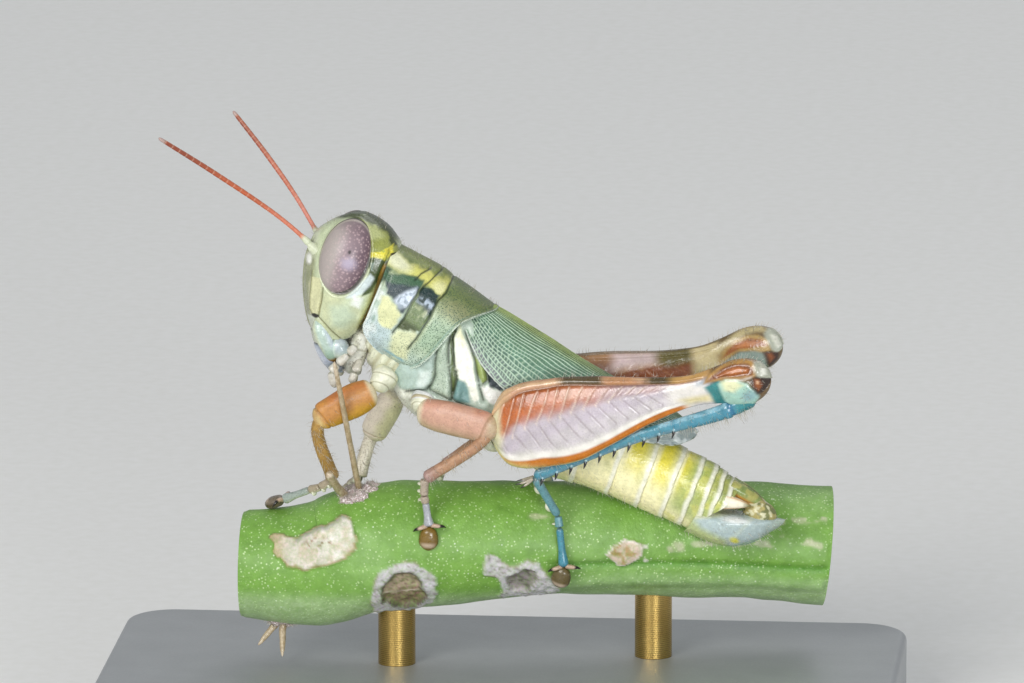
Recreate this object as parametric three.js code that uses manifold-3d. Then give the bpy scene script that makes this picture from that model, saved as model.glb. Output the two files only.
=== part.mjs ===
// A male cactus grasshopper, life size, on a cut length of slender cactus stem held by a plain stand.
// Millimetres, +Z up. The head points to -X and the insect's left side faces -Y.
// The trunk lies in a frame of its own, pitched nose-up: there x runs back along the body and z to its back.

import * as THREE from "three";
import { mergeVertices } from "three/addons/utils/BufferGeometryUtils.js";
import Module from "manifold-3d";

const wasm = await Module();
wasm.setup();

// ---------------------------------------------------------------- driving dimensions

const BODY_PITCH = THREE.MathUtils.degToRad(32); // nose-up slope of the trunk
const NECK = [-4.0, 0, 20.2]; // the trunk frame's origin: front edge of the pronotum, on top
const HEAD_CENTRE = [-6.0, 0, 18.0]; // the head frame's origin, upright, not pitched

const GAP = 0.1; // clear space left where one piece meets the next
const MEMBRANE = 0.04; // clear space between the two tegmina and between mouthparts
const SMALLEST_STEP = 0.03; // relief smaller than this is left flat

const PRONOTUM_DEPTH = 4.0; // top of the pronotum to the lower edge of its lobes
const PRONOTUM_HALF = 1.82; // half width of the pronotum at its lobes
const THORAX_HALF = 1.62;
const ABDOMEN_HALF = 1.42;
const TEGMEN_THICKNESS = 0.5;
const ANTENNA_RADIUS = 0.25;
const SPINES_PER_ROW = 10; // black-tipped spines in each row of a hind tibia

const PLATE = { length: 32, width: 18, thickness: 3, corner: 2, edge: 0.3 };
const ROD_RADIUS = 0.75;
const RODS = [["front", -4.2, 0.28], ["rear", 6.0, 2.4]]; // name, x and y of each rod

// ---------------------------------------------------------------- materials

function finish(color, roughness, metalness = 0) {
  return new THREE.MeshStandardMaterial({ color, roughness, metalness });
}

const sage = finish(0xa9b98c, 0.45);
const eyeGrey = finish(0x8f8088, 0.3);
const antennaOrange = finish(0xd9826a, 0.5);
const cream = finish(0xe3dfc0, 0.5);
const green = finish(0x7f9c6c, 0.45);
const wingGreen = finish(0x5f8f78, 0.5);
const yellow = finish(0xe6dc96, 0.45);
const pearl = finish(0xb9c6be, 0.35);
const orangeLeg = finish(0xc98636, 0.45);
const pinkLeg = finish(0xcf9a86, 0.45);
const femurLilac = finish(0xcbbfc2, 0.4);
const tibiaBlue = finish(0x3d90b4, 0.35);
const stemGreen = finish(0x76a845, 0.6);
const plateGrey = finish(0xabaeb0, 0.5, 0.6);
const rodMetal = finish(0xb9a26a, 0.3, 1);

// ---------------------------------------------------------------- curves and solids

/** A smooth function through a few [place, value] stations, level beyond both ends. */
function through(stations) {
  const last = stations.length - 1;
  const slopes = stations.map((_, i) => {
    const before = stations[Math.max(i - 1, 0)];
    const after = stations[Math.min(i + 1, last)];
    return (after[1] - before[1]) / (after[0] - before[0]);
  });
  return (place) => {
    let i = 0;
    while (i < last - 1 && place > stations[i + 1][0]) {
      i += 1;
    }
    const span = stations[i + 1][0] - stations[i][0];
    const u = THREE.MathUtils.clamp((place - stations[i][0]) / span, 0, 1);
    const uu = u * u;
    const uuu = uu * u;
    return (
      (2 * uuu - 3 * uu + 1) * stations[i][1] +
      (uuu - 2 * uu + u) * span * slopes[i] +
      (3 * uu - 2 * uuu) * stations[i + 1][1] +
      (uuu - uu) * span * slopes[i + 1]
    );
  };
}

/** cos or sin raised for a squarer (power over 2) outline, keeping its sign. */
function squared(value, power) {
  return Math.sign(value) * Math.abs(value) ** (2 / power);
}

/** A merged, outward-facing solid made from a closed geometry. */
function solidOf(geometry) {
  geometry.deleteAttribute("normal");
  geometry.deleteAttribute("uv");
  const merged = mergeVertices(geometry);
  const places = Float32Array.from(merged.attributes.position.array);
  const corners = Uint32Array.from(merged.index.array);
  const a = new THREE.Vector3();
  const b = new THREE.Vector3();
  const c = new THREE.Vector3();
  let volume = 0;
  for (let i = 0; i < corners.length; i += 3) {
    a.fromArray(places, corners[i] * 3);
    b.fromArray(places, corners[i + 1] * 3);
    c.fromArray(places, corners[i + 2] * 3);
    volume += a.dot(b.cross(c));
  }
  if (volume < 0) {
    corners.reverse();
  }
  return new wasm.Manifold(new wasm.Mesh({ numProp: 3, vertProperties: places, triVerts: corners }));
}

/** A cylinder whose skin is moved to place(along, angle), and whose end discs shrink to the end's middle. */
function skinned(sides, steps, place) {
  const geometry = new THREE.CylinderGeometry(1, 1, 1, sides, steps);
  const spots = geometry.attributes.position;
  for (let i = 0; i < spots.count; i += 1) {
    const x = spots.getX(i);
    const z = spots.getZ(i);
    const along = 0.5 - spots.getY(i);
    const angle = Math.atan2(z, x);
    const point = place(along, angle);
    if (Math.hypot(x, z) < 0.5) {
      point.copy(place(along, 0)).add(place(along, Math.PI)).multiplyScalar(0.5);
    }
    spots.setXYZ(i, point.x, point.y, point.z);
  }
  return geometry;
}

/** Places along a piece, drawn closer together towards its rounded ends. */
function eased(along) {
  return THREE.MathUtils.lerp(along, 0.5 - 0.5 * Math.cos(Math.PI * along), 0.7);
}

/** How far a round end has swelled: from a small flat at the tip to full size over `reach` of the length. */
function swell(along, reach) {
  const first = reach[0] > 0 ? along / reach[0] : 1;
  const last = reach[1] > 0 ? (1 - along) / reach[1] : 1;
  const near = Math.min(first, last, 1);
  return Math.max(0.3, Math.sqrt(1 - (1 - near) ** 2));
}

/**
 * A limb: a closed tube along a smooth line through points [x, y, z].
 * size holds [along, half height, half width] stations, round how much of each end is rounded off.
 */
function limb({
  line, size, up = [0, 0, 1], round = [0.1, 0.1], sides = 10, steps = 8, power = 2.2, grow = 0,
}) {
  const points = line.map((p) => new THREE.Vector3(...p));
  const curve = points.length === 2
    ? new THREE.LineCurve3(points[0], points[1])
    : new THREE.CatmullRomCurve3(points, false, "centripetal");
  const high = through(size.map((s) => [s[0], s[1]]));
  const wide = through(size.map((s) => [s[0], s[2]]));
  const upward = new THREE.Vector3(...up);
  return solidOf(
    skinned(sides, steps, (s, angle) => {
      const along = eased(s);
      const ahead = curve.getTangentAt(along);
      const side = upward.clone().cross(ahead).normalize();
      const lift = ahead.clone().cross(side);
      const swollen = swell(along, round);
      return curve
        .getPointAt(along)
        .addScaledVector(ahead, grow * (2 * along - 1))
        .addScaledVector(side, (wide(along) * swollen + grow) * squared(Math.cos(angle), power))
        .addScaledVector(lift, (high(along) * swollen + grow) * squared(Math.sin(angle), power));
    }),
  );
}

/** An ellipsoid with half sizes [x, y, z], turned by Euler angles in degrees. */
function ball({ at, half, turn = [0, 0, 0], sides = 14, rings = 10, grow = 0 }) {
  const geometry = new THREE.SphereGeometry(1, sides, rings);
  geometry.scale(half[0] + grow, half[1] + grow, half[2] + grow);
  const angles = turn.map(THREE.MathUtils.degToRad);
  geometry.applyMatrix4(new THREE.Matrix4().makeRotationFromEuler(new THREE.Euler(...angles)));
  geometry.translate(...at);
  return solidOf(geometry);
}

/**
 * A trunk piece lofted along x: top, bottom, half width and height of the widest line are functions of x.
 * front and hind give the x of its two ends at each height, so that an end can slope or curve.
 */
function loft({
  from, to, top, bottom, half, widest, front, hind, powers = [2.3, 2.3], sides = 20, steps = 12, grow = 0,
}) {
  return skinned(sides, steps, (s, angle) => {
    const along = eased(s);
    const plain = THREE.MathUtils.lerp(from, to, along);
    const middle = widest(plain);
    const lift = Math.sin(angle);
    const power = lift > 0 ? powers[0] : powers[1];
    const reach = lift > 0 ? top(plain) - middle : middle - bottom(plain);
    const height = squared(lift, power);
    const breadth = squared(Math.cos(angle), power);
    const level = middle + reach * height;
    const start = front ? front(level) : from;
    const end = hind ? hind(level) : to;
    const x = THREE.MathUtils.lerp(start - grow, end + grow, along);
    return new THREE.Vector3(x, (half(plain) + grow) * breadth, level + grow * height);
  });
}

/** Several solids joined into one. */
function joined(...solids) {
  return solids.reduce((whole, next) => whole.add(next));
}

/** A solid with others cut away from it, keeping its one largest body. */
function without(solid, ...cutters) {
  const left = cutters.reduce((rest, cutter) => rest.subtract(cutter), solid);
  return largest(left);
}

/** The largest body of a solid, once relief too small to matter is smoothed away. */
function largest(solid) {
  return solid.simplify(SMALLEST_STEP).decompose().sort((one, other) => other.volume() - one.volume())[0];
}

/** A point mirrored to the other side of the body: side is -1 for the left, +1 for the right. */
function sided(point, side) {
  return [point[0], point[1] * side, point[2]];
}

// ---------------------------------------------------------------- scene graph

const grasshopper = new THREE.Group();

function frameAt(position, pitch = 0) {
  const frame = new THREE.Group();
  frame.position.set(...position);
  frame.rotation.y = pitch;
  grasshopper.add(frame);
  frame.updateMatrixWorld();
  return frame;
}

const trunk = frameAt(NECK, BODY_PITCH);
const headFrame = frameAt(HEAD_CENTRE);
const legs = frameAt([0, 0, 0]);
const stand = frameAt([0, 0, 0]);

/** A geometry drawn in a frame, as a solid in the object's own frame. */
function drawnIn(frame, geometry) {
  return solidOf(geometry.applyMatrix4(frame.matrixWorld));
}

/** A point given in a frame, in the object's own frame. */
function fromFrame(frame, point) {
  return new THREE.Vector3(...point).applyMatrix4(frame.matrixWorld).toArray();
}

/** Adds a named mesh to a frame, from a solid in the object's own frame. */
function add(frame, name, solid, material) {
  const shape = largest(solid).getMesh();
  const geometry = new THREE.BufferGeometry();
  geometry.setAttribute("position", new THREE.BufferAttribute(Float32Array.from(shape.vertProperties), 3));
  geometry.setIndex(new THREE.BufferAttribute(Uint32Array.from(shape.triVerts), 1));
  geometry.applyMatrix4(frame.matrixWorld.clone().invert());
  const mesh = new THREE.Mesh(geometry, material);
  mesh.name = name;
  frame.add(mesh);
}

const SIDES = [["left", -1], ["right", 1]];

// ---------------------------------------------------------------- pronotum

function pronotumSolid(grow = 0) {
  const top = through([[-0.15, 0], [0.9, 0.13], [1.9, 0.2], [2.5, 0.13], [4.64, 0.0]]);
  const half = through([[-0.15, 0.9 * PRONOTUM_HALF], [2, 0.97 * PRONOTUM_HALF], [4.64, PRONOTUM_HALF]]);
  const front = through([
    [-PRONOTUM_DEPTH, 2.1], [-3.75, 1.15], [-3.4, 0.52], [-2.8, 0.35], [-1.5, 0.12], [-0.4, -0.12],
    [0.1, -0.15],
  ]);
  const hind = through([
    [-PRONOTUM_DEPTH, 2.2], [-3.7, 2.95], [-3.0, 3.3], [-1.5, 3.55], [-1.0, 3.68], [-0.42, 4.12], [0, 4.64],
  ]);
  const shape = loft({
    from: -0.15, to: 4.64, top, half, front, hind, grow,
    bottom: () => -PRONOTUM_DEPTH,
    widest: () => -2.2,
    powers: [2.25, 3.2],
    sides: 20,
    steps: 9,
  });
  return drawnIn(trunk, shape);
}

// ---------------------------------------------------------------- tegmina

/** The lanceolate fore wing: a bent sheet from the middle of the back round to the flank. */
function tegmenSolid(side, grow = 0) {
  const base = 3.3;
  const tip = 14.05;
  const top = through([[base, -0.4], [4.6, 0.0], [9.5, 0.06], [12.5, 0.25], [tip, 0.1]]);
  const low = through([
    [base, -0.95], [4.5, -1.65], [5.3, -2.05], [6.5, -2.35], [8, -2.45], [10, -2.1], [12.3, -1.3],
    [13.5, -0.85], [tip, -0.5],
  ]);
  const spread = through([[base, 1.5], [4.6, 1.76], [6.5, 1.8], [9, 1.78], [11, 1.72], [tip, 1.35]]);
  const bend = 2.55; // height of the quarter round that the sheet follows
  const half = TEGMEN_THICKNESS / 2;
  const sheet = new THREE.BoxGeometry(1, 1, 1, 9, 5, 1);
  const spots = sheet.attributes.position;
  for (let i = 0; i < spots.count; i += 1) {
    const x = THREE.MathUtils.lerp(base - grow, tip + grow, spots.getX(i) + 0.5);
    const crest = top(x) - half;
    const last = Math.acos(1 - (crest - low(x) + grow) / bend);
    const turn = last * (spots.getY(i) + 0.5);
    const out = Math.sign(spots.getZ(i)) * (half + grow);
    const middle = (spread(x) - half - MEMBRANE) * Math.sin(turn);
    const y = MEMBRANE + middle + out * Math.sin(turn);
    spots.setXYZ(i, x, side * y, crest - bend * (1 - Math.cos(turn)) + out * Math.cos(turn));
  }
  return drawnIn(trunk, sheet);
}

// ---------------------------------------------------------------- thorax and abdomen

function thoraxSolid(grow = 0) {
  const shape = loft({
    from: 2.5, to: 9.15, grow,
    top: through([[2.5, -0.9], [4, -0.35], [7, -0.3], [9.15, -0.5]]),
    bottom: through([[2.5, -4.9], [3.6, -5.4], [5.1, -5.48], [6.5, -4.97], [7.8, -4.86], [9.15, -4.8]]),
    half: through([
      [2.5, 0.86 * THORAX_HALF], [3.6, THORAX_HALF], [7.5, THORAX_HALF], [9.15, 0.95 * THORAX_HALF],
    ]),
    widest: () => -2.6,
    powers: [2.2, 2.6],
    sides: 16,
    steps: 6,
  });
  return drawnIn(trunk, shape);
}

function prosternumSolid(grow = 0) {
  const shape = loft({
    from: 0.95, to: 3.4, grow,
    top: () => -3.2,
    bottom: through([[0.95, -4.1], [1.6, -4.85], [2.6, -5.1], [3.4, -5.2]]),
    half: through([[0.95, 0.7], [1.8, 1.05], [3.4, 1.2]]),
    widest: () => -3.9,
    sides: 10,
    steps: 3,
  });
  return drawnIn(trunk, shape);
}

function abdomenSolid(grow = 0) {
  const first = 9.25;
  const last = 16.65;
  const half = through([
    [first, 1.08 * ABDOMEN_HALF], [11, 1.03 * ABDOMEN_HALF], [13, 0.95 * ABDOMEN_HALF],
    [15, 0.83 * ABDOMEN_HALF], [last, 0.68 * ABDOMEN_HALF],
  ]);
  const shape = loft({
    from: first, to: last, grow, half,
    top: through([[first, -0.75], [11, -0.8], [14, -0.78], [15.4, -0.66], [last, -0.8]]),
    bottom: through([
      [first, -4.82], [10.4, -4.62], [11.9, -4.22], [13.1, -4.02], [14.6, -3.82], [last, -3.5],
    ]),
    widest: through([[first, -2.9], [last, -2.0]]),
    front: () => first,
    hind: through([[-3.6, 15.7], [-2.6, 16.1], [-1.6, 16.6], [-0.7, last]]),
    powers: [2.1, 2.3],
    sides: 16,
    steps: 10,
  });
  return drawnIn(trunk, shape);
}

function subgenitalSolid(grow = 0) {
  const shape = loft({
    from: 15.75, to: 18.9, grow,
    top: through([[15.75, -2.5], [17, -1.9], [18, -1.45], [18.9, -1.05]]),
    bottom: through([
      [15.75, -3.62], [16.9, -3.45], [17.7, -3.08], [18.3, -2.5], [18.65, -1.9], [18.9, -1.3],
    ]),
    half: through([[15.75, 1.0], [17, 0.98], [18.1, 0.66], [18.9, 0.16]]),
    widest: through([[15.75, -2.75], [17, -2.35], [18.9, -1.17]]),
    sides: 12,
    steps: 6,
  });
  return drawnIn(trunk, shape);
}

function supraAnalSolid(grow = 0) {
  const shape = loft({
    from: 16.3, to: 17.9, grow,
    top: through([[16.3, -0.72], [17.1, -0.7], [17.9, -0.85]]),
    bottom: through([[16.3, -1.4], [17.1, -1.35], [17.9, -1.2]]),
    half: through([[16.3, 0.6], [17.1, 0.48], [17.9, 0.18]]),
    widest: () => -1.05,
    sides: 8,
    steps: 3,
  });
  return drawnIn(trunk, shape);
}

// ---------------------------------------------------------------- head

/** The head capsule, lofted upwards: front and rear are the x of the face and of the back of the head. */
function headSolid() {
  const foot = -1.45;
  const crown = 3.52;
  const face = through([
    [foot, -1.5], [-0.7, -1.73], [0, -1.83], [0.85, -1.87], [1.8, -1.79], [2.35, -1.6], [2.8, -1.35],
    [3.25, -0.7], [crown, 0.0],
  ]);
  const rear = through([
    [foot, 0.1], [-1.1, 0.42], [-0.6, 0.85], [0, 1.15], [0.9, 1.6], [1.7, 2.0], [2.3, 2.0], [2.9, 1.62],
    [3.25, 1.2], [crown, 0.7],
  ]);
  const half = through([
    [foot, 1.05], [-0.7, 1.5], [0, 1.64], [0.85, 1.62], [1.8, 1.5], [2.4, 1.34], [2.9, 1.08], [3.25, 0.78],
    [crown, 0.34],
  ]);
  const shape = skinned(14, 10, (s, angle) => {
    const level = THREE.MathUtils.lerp(foot, crown, eased(s));
    const middle = (face(level) + rear(level)) / 2;
    const deep = (rear(level) - face(level)) / 2;
    const x = middle + deep * squared(Math.cos(angle), 2.3);
    const y = half(level) * squared(Math.sin(angle), 2.3) * (1 + 0.16 * Math.cos(angle));
    return new THREE.Vector3(x, y, level);
  });
  return drawnIn(headFrame, shape);
}

const eye = (side, grow = 0) => ball({
  at: fromFrame(headFrame, [-0.06, side * 1.05, 1.92]),
  half: [1.05, 0.74, 1.56],
  turn: [side * 10, 17, 0],
  sides: 12,
  rings: 8,
  grow,
});

const antennaRoot = (side) => fromFrame(headFrame, [-1.28, side * 0.72, 2.03]);

function antennaSolid(side, bends) {
  const root = antennaRoot(side);
  const line = [root, ...bends];
  const thick = ANTENNA_RADIUS;
  return limb({
    line,
    size: [[0, 0.33, 0.3], [0.05, 0.3, 0.28], [0.09, thick, thick], [1, thick, thick]],
    round: [0, 0.02],
    sides: 6,
    steps: 10,
  });
}

function labrumSolid() {
  return drawnIn(headFrame, skinned(10, 6, (s, angle) => {
    const level = THREE.MathUtils.lerp(-2.95, -1.2, eased(s));
    const face = through([[-2.95, -0.85], [-2.5, -1.18], [-2.1, -1.38], [-1.6, -1.52], [-1.2, -1.6]])(level);
    const half = through([[-2.95, 0.35], [-2.6, 0.75], [-1.9, 0.92], [-1.2, 0.95]])(level);
    const x = face + 0.27 - 0.27 * squared(Math.cos(angle), 2.5) + 0.25 * Math.abs(Math.sin(angle)) ** 3;
    return new THREE.Vector3(x, half * squared(Math.sin(angle), 2.5), level);
  }));
}

const mandible = (side, grow = 0) => limb({
  line: [
    fromFrame(headFrame, [-1.18, side * 0.98, -0.8]),
    fromFrame(headFrame, [-0.92, side * 0.92, -1.7]),
    fromFrame(headFrame, [-0.52, side * 0.5, -2.5]),
  ],
  size: [[0, 0.3, 0.28], [0.5, 0.4, 0.36], [1, 0.28, 0.28]],
  up: [1, 0, 0],
  round: [0.25, 0.25],
  sides: 8,
  steps: 4,
  grow,
});

const maxilla = (side, grow = 0) => ball({
  at: fromFrame(headFrame, [-0.32, side * 0.79, -1.87]),
  half: [0.4, 0.4, 0.47],
  turn: [0, 30, 0],
  sides: 8,
  rings: 6,
  grow,
});

const labium = (grow = 0) => limb({
  line: [
    fromFrame(headFrame, [0.7, 0, -1.0]),
    fromFrame(headFrame, [0.34, 0, -1.9]),
    fromFrame(headFrame, [-0.1, 0, -3.05]),
  ],
  size: [[0, 0.45, 0.75], [0.5, 0.44, 0.66], [1, 0.34, 0.46]],
  up: [1, 0, 0],
  round: [0.2, 0.3],
  sides: 8,
  steps: 4,
  grow,
});

/** A jointed palp: short swollen segments end to end. */
function palpSolid(points) {
  const thick = 0.25;
  const segments = points.slice(1).map((end, i) => limb({
    line: [points[i], end],
    size: [[0, 0.8 * thick, 0.8 * thick], [0.8, thick, thick], [1, thick, thick]],
    up: [0, 1, 0],
    round: [0.2, 0.3],
    sides: 6,
    steps: 2,
  }));
  return joined(...segments);
}

// ---------------------------------------------------------------- legs

/**
 * Joint points of the six legs: coxa, trochanter, knee and ankle, then the tarsus to the toe.
 * Left and right differ because each foot grips the stem where it can. `away` points from the stem,
 * and `grip`, where given, along the pad.
 */
const LEGS = {
  fore_left: {
    side: -1, coxa: [-4.3, -0.95, 15.35], trochanter: [-4.88, -1.45, 14.6], knee: [-7.3, -2.0, 13.42],
    ankle: [-6.6, -1.15, 10.85], foot: [[-7.15, -0.9, 10.45], [-7.6, -0.6, 10.27], [-8.75, 0.05, 9.7]],
    away: [0.2, -0.3, 1], grip: [-0.8, 0.3, -0.35],
  },
  fore_right: {
    side: 1, coxa: [-4.05, 0.95, 14.95], trochanter: [-4.3, 1.4, 13.95], knee: [-5.45, 2.05, 11.85],
    ankle: [-5.85, 1.75, 10.3], foot: [[-6.3, 2.35, 9.85], [-7.2, 2.85, 8.9], [-7.6, 2.95, 8.3]],
    away: [0, 1, 0.25],
  },
  mid_left: {
    side: -1, coxa: [-2.85, -1.15, 14.35], trochanter: [-3.15, -1.7, 13.85], knee: [0.15, -2.6, 13.3],
    ankle: [-2.8, -2.35, 11.2], foot: [[-2.85, -2.25, 10.5], [-2.8, -2.15, 10.2], [-2.66, -2.12, 9.2]],
    away: [0, -1, 0.25], grip: [-0.04, 0.02, -1],
  },
  mid_right: {
    side: 1, coxa: [-2.85, 1.15, 14.35], trochanter: [-3.0, 1.7, 13.85], knee: [0.15, 2.85, 12.85],
    ankle: [-2.5, 2.35, 10.65], foot: [[-2.75, 2.95, 10.0], [-2.8, 3.2, 9.2], [-2.8, 3.3, 8.5]],
    away: [0, 1, 0.25],
  },
  hind_left: {
    side: -1, coxa: [-0.3, -1.15, 12.7], trochanter: [0.15, -1.75, 12.95],
    ankle: [1.55, -2.0, 11.3], foot: [[2.45, -1.35, 9.56], [2.5, -1.35, 9.1], [2.68, -1.3, 7.44]],
    away: [0, -1, 0.25], grip: [-0.28, 0.4, -1.0],
  },
  hind_right: {
    side: 1, coxa: [-0.3, 1.15, 12.7], trochanter: [0.15, 1.75, 12.95],
    ankle: [1.3, 3.1, 11.3], foot: [[1.75, 3.65, 9.6], [1.9, 3.85, 9.0], [2.05, 3.9, 7.9]],
    away: [0, 1, 0.25],
  },
};

const FORE_SIZES = { femurHigh: 0.62, femurWide: 0.45, tibia: 0.29 };
const MID_SIZES = { femurHigh: 0.66, femurWide: 0.47, tibia: 0.27 };

/** Three tarsal segments, two claws and the pad between them, joined. */
function tarsusSolid({ ankle, foot, away, grip }) {
  const points = [ankle, ...foot];
  const thick = 0.25;
  const segments = points.slice(1).map((end, i) => limb({
    line: [points[i], end],
    size: [[0, thick, thick], [1, 0.92 * thick, 0.92 * thick]],
    up: away,
    round: [0, 0],
    sides: 6,
    steps: 1,
  }));
  const toe = new THREE.Vector3(...points[points.length - 1]);
  const ahead = toe.clone().sub(new THREE.Vector3(...points[points.length - 2])).normalize();
  const outward = new THREE.Vector3(...away).normalize();
  const across = ahead.clone().cross(outward).normalize();
  const at = (forward, side, lift) => toe
    .clone()
    .addScaledVector(ahead, forward)
    .addScaledVector(across, side)
    .addScaledVector(outward, lift)
    .toArray();
  const claws = [-1, 1].map((side) => limb({
    line: [at(-0.05, side * 0.05, 0), at(0.13, side * 0.64, 0)],
    size: [[0, 0.12, 0.12], [1, 0.05, 0.05]],
    up: away,
    round: [0, 0],
    sides: 4,
    steps: 1,
  }));
  const reach = (grip ? new THREE.Vector3(...grip) : ahead).clone().normalize();
  const pad = limb({
    line: [toe.toArray(), toe.clone().addScaledVector(reach, 0.98).toArray()],
    size: [[0, 0.2, 0.24], [0.4, 0.27, 0.38], [0.8, 0.26, 0.38], [1, 0.2, 0.28]],
    up: away,
    round: [0.3, 0.45],
    sides: 6,
    steps: 3,
  });
  return joined(...segments, ...claws, pad);
}

/** Coxa and trochanter, from the thorax to the femur. */
function coxaSolid(leg, thick, grow = 0) {
  return limb({
    line: [leg.coxa, leg.trochanter],
    size: [[0, thick, thick], [0.6, 1.02 * thick, thick], [1, 0.8 * thick, 0.8 * thick]],
    round: [0.3, 0.35],
    up: [1, 0, 0],
    sides: 8,
    steps: 4,
    grow,
  });
}

function femurSolid(leg, sizes, grow = 0) {
  return limb({
    line: [leg.trochanter, leg.knee],
    size: [
      [0, 0.8 * sizes.femurHigh, 0.8 * sizes.femurWide],
      [0.35, sizes.femurHigh, sizes.femurWide],
      [0.75, 0.92 * sizes.femurHigh, 0.9 * sizes.femurWide],
      [1, 0.75 * sizes.femurHigh, 0.8 * sizes.femurWide],
    ],
    round: [0.14, 0.12],
    sides: 8,
    steps: 6,
    grow,
  });
}

function tibiaSolid(leg, sizes) {
  return limb({
    line: [leg.knee, leg.ankle],
    size: [
      [0, sizes.tibia, sizes.tibia], [0.15, 0.95 * sizes.tibia, 0.95 * sizes.tibia],
      [0.8, sizes.tibia, 0.95 * sizes.tibia], [1, 1.1 * sizes.tibia, sizes.tibia],
    ],
    up: [0, 1, 0],
    round: [0.05, 0.06],
    sides: 6,
    steps: 5,
  });
}

// Hind femur, from its root to the knee: centre line of the left one, with its half heights and half widths.
const HIND_LINE = [
  [-0.3, -2.15, 13.32], [1.0, -2.4, 13.42], [1.82, -2.5, 13.58], [2.65, -2.6, 13.72], [4.26, -2.8, 14.22],
  [6.3, -3.0, 14.78], [7.9, -3.25, 15.2], [9.75, -3.5, 15.65], [11.1, -3.65, 15.85],
];
const HIND_SIZE = [
  [0, 1.0, 0.45], [0.05, 1.4, 0.52], [0.12, 1.66, 0.6], [0.2, 1.7, 0.62], [0.3, 1.62, 0.6],
  [0.42, 1.36, 0.54], [0.56, 0.94, 0.42], [0.66, 0.7, 0.34], [0.73, 0.63, 0.3], [0.8, 0.72, 0.34],
  [0.89, 0.9, 0.44], [1, 0.8, 0.4],
];
const RIGHT_DROP = 0.18; // how much lower the right hind leg is held than the left one

/** A point of a hind leg in its place: on the right leg it is lower, more so away from the root. */
function lowered(point, side) {
  const share = Math.min(1, Math.max(0, point[0] / 3));
  const drop = side > 0 ? RIGHT_DROP * share : 0;
  return [point[0], point[1], point[2] - drop];
}

function hindFemurSolid(side, grow = 0) {
  return limb({
    line: HIND_LINE.map((p) => lowered(sided(p, -side), side)),
    size: HIND_SIZE,
    round: [0.07, 0.07],
    sides: 10,
    steps: 14,
    power: 2.0,
    grow,
  });
}

/** The hind tibia, folded under the femur, with two rows of spines along its lower edge. */
function hindTibiaSolid(leg) {
  const knee = lowered([10.45, leg.side * 3.5, 15.03], leg.side);
  const shin = lowered([9.25, leg.side * 3.42, 14.43], leg.side);
  const calf = lowered([5.87, THREE.MathUtils.lerp(leg.side * 3.4, leg.ankle[1], 0.45), 13.22], leg.side);
  const curve = [knee, shin, calf, leg.ankle];
  const shaft = limb({
    line: curve,
    size: [[0, 0.34, 0.28], [0.15, 0.31, 0.26], [0.6, 0.26, 0.25], [1, 0.27, 0.27]],
    round: [0.03, 0.03],
    sides: 6,
    steps: 8,
  });
  const path = new THREE.CatmullRomCurve3(curve.map((p) => new THREE.Vector3(...p)), false, "centripetal");
  const spines = [];
  for (const row of [-1, 1]) {
    for (let i = 0; i < SPINES_PER_ROW; i += 1) {
      const along = THREE.MathUtils.lerp(0.33, 0.96, (i + 0.25 + 0.25 * row) / (SPINES_PER_ROW - 0.5));
      const root = path.getPointAt(along).add(new THREE.Vector3(0, row * 0.13, -0.1));
      const tip = root.clone().add(new THREE.Vector3(-0.1, row * 0.14, -0.4));
      spines.push(limb({
        line: [root.toArray(), tip.toArray()],
        size: [[0, 0.1, 0.1], [1, 0.03, 0.03]],
        up: [1, 0, 0],
        round: [0, 0],
        sides: 3,
        steps: 1,
      }));
    }
  }
  return joined(shaft, ...spines);
}

// ---------------------------------------------------------------- perch and stand

// Centre line and radius of the cut stem, from its head end to its tail end.
const STEM_LINE = [
  [-10.4, 0.1, 7.0], [-8.0, 0.12, 6.98], [-6.8, 0.15, 7.15], [-5.6, 0.2, 7.58], [-4.0, 0.3, 7.85],
  [-2.45, 0.45, 7.95], [0, 0.8, 8.06], [2.3, 1.25, 8.06], [4.65, 1.95, 7.9], [7.0, 2.75, 7.74],
  [9.35, 3.4, 7.58], [11.0, 3.7, 7.5], [12.9, 3.95, 7.33],
];
const STEM_SIZE = [
  [0, 2.1, 2.1], [0.1, 2.36, 2.36], [0.2, 2.58, 2.55], [0.34, 2.5, 2.48], [0.45, 2.32, 2.32],
  [0.55, 2.25, 2.26], [0.75, 2.3, 2.3], [1, 2.42, 2.42],
];

const stem = (grow = 0) => limb({
  line: STEM_LINE, size: STEM_SIZE, round: [0, 0], sides: 14, steps: 12, power: 2, grow,
});

/** The woolly areole with its one long spine and its short one, on the stem's upper edge. */
function spinyAreole() {
  const wool = ball({ at: [-5.65, -0.05, 10.1], half: [0.72, 0.55, 0.34], sides: 10, rings: 6 });
  const long = limb({
    line: [[-5.62, -0.3, 10.15], [-5.92, -1.95, 12.9], [-6.32, -3.4, 16.15]],
    size: [[0, 0.2, 0.2], [0.3, 0.15, 0.15], [1, 0.09, 0.09]],
    up: [1, 0, 0],
    round: [0, 0.02],
    sides: 6,
    steps: 6,
  });
  const short = limb({
    line: [[-6.15, -0.4, 9.95], [-6.45, -1.5, 10.65], [-6.68, -2.35, 11.35]],
    size: [[0, 0.22, 0.24], [1, 0.16, 0.18]],
    up: [1, 0, 0],
    round: [0, 0.1],
    sides: 6,
    steps: 2,
  });
  return joined(wool, long, short);
}

/** The two spines that hang from the areole under the stem's head end. */
function hangingSpines() {
  const root = [-8.8, 0.1, 4.9];
  const tips = [[-9.75, -0.35, 3.75], [-8.75, -0.55, 3.35]];
  return tips.map((tip) => limb({
    line: [root, tip],
    size: [[0, 0.2, 0.2], [1, 0.08, 0.08]],
    up: [0, 1, 0],
    round: [0, 0],
    sides: 5,
    steps: 1,
  }));
}

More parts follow.
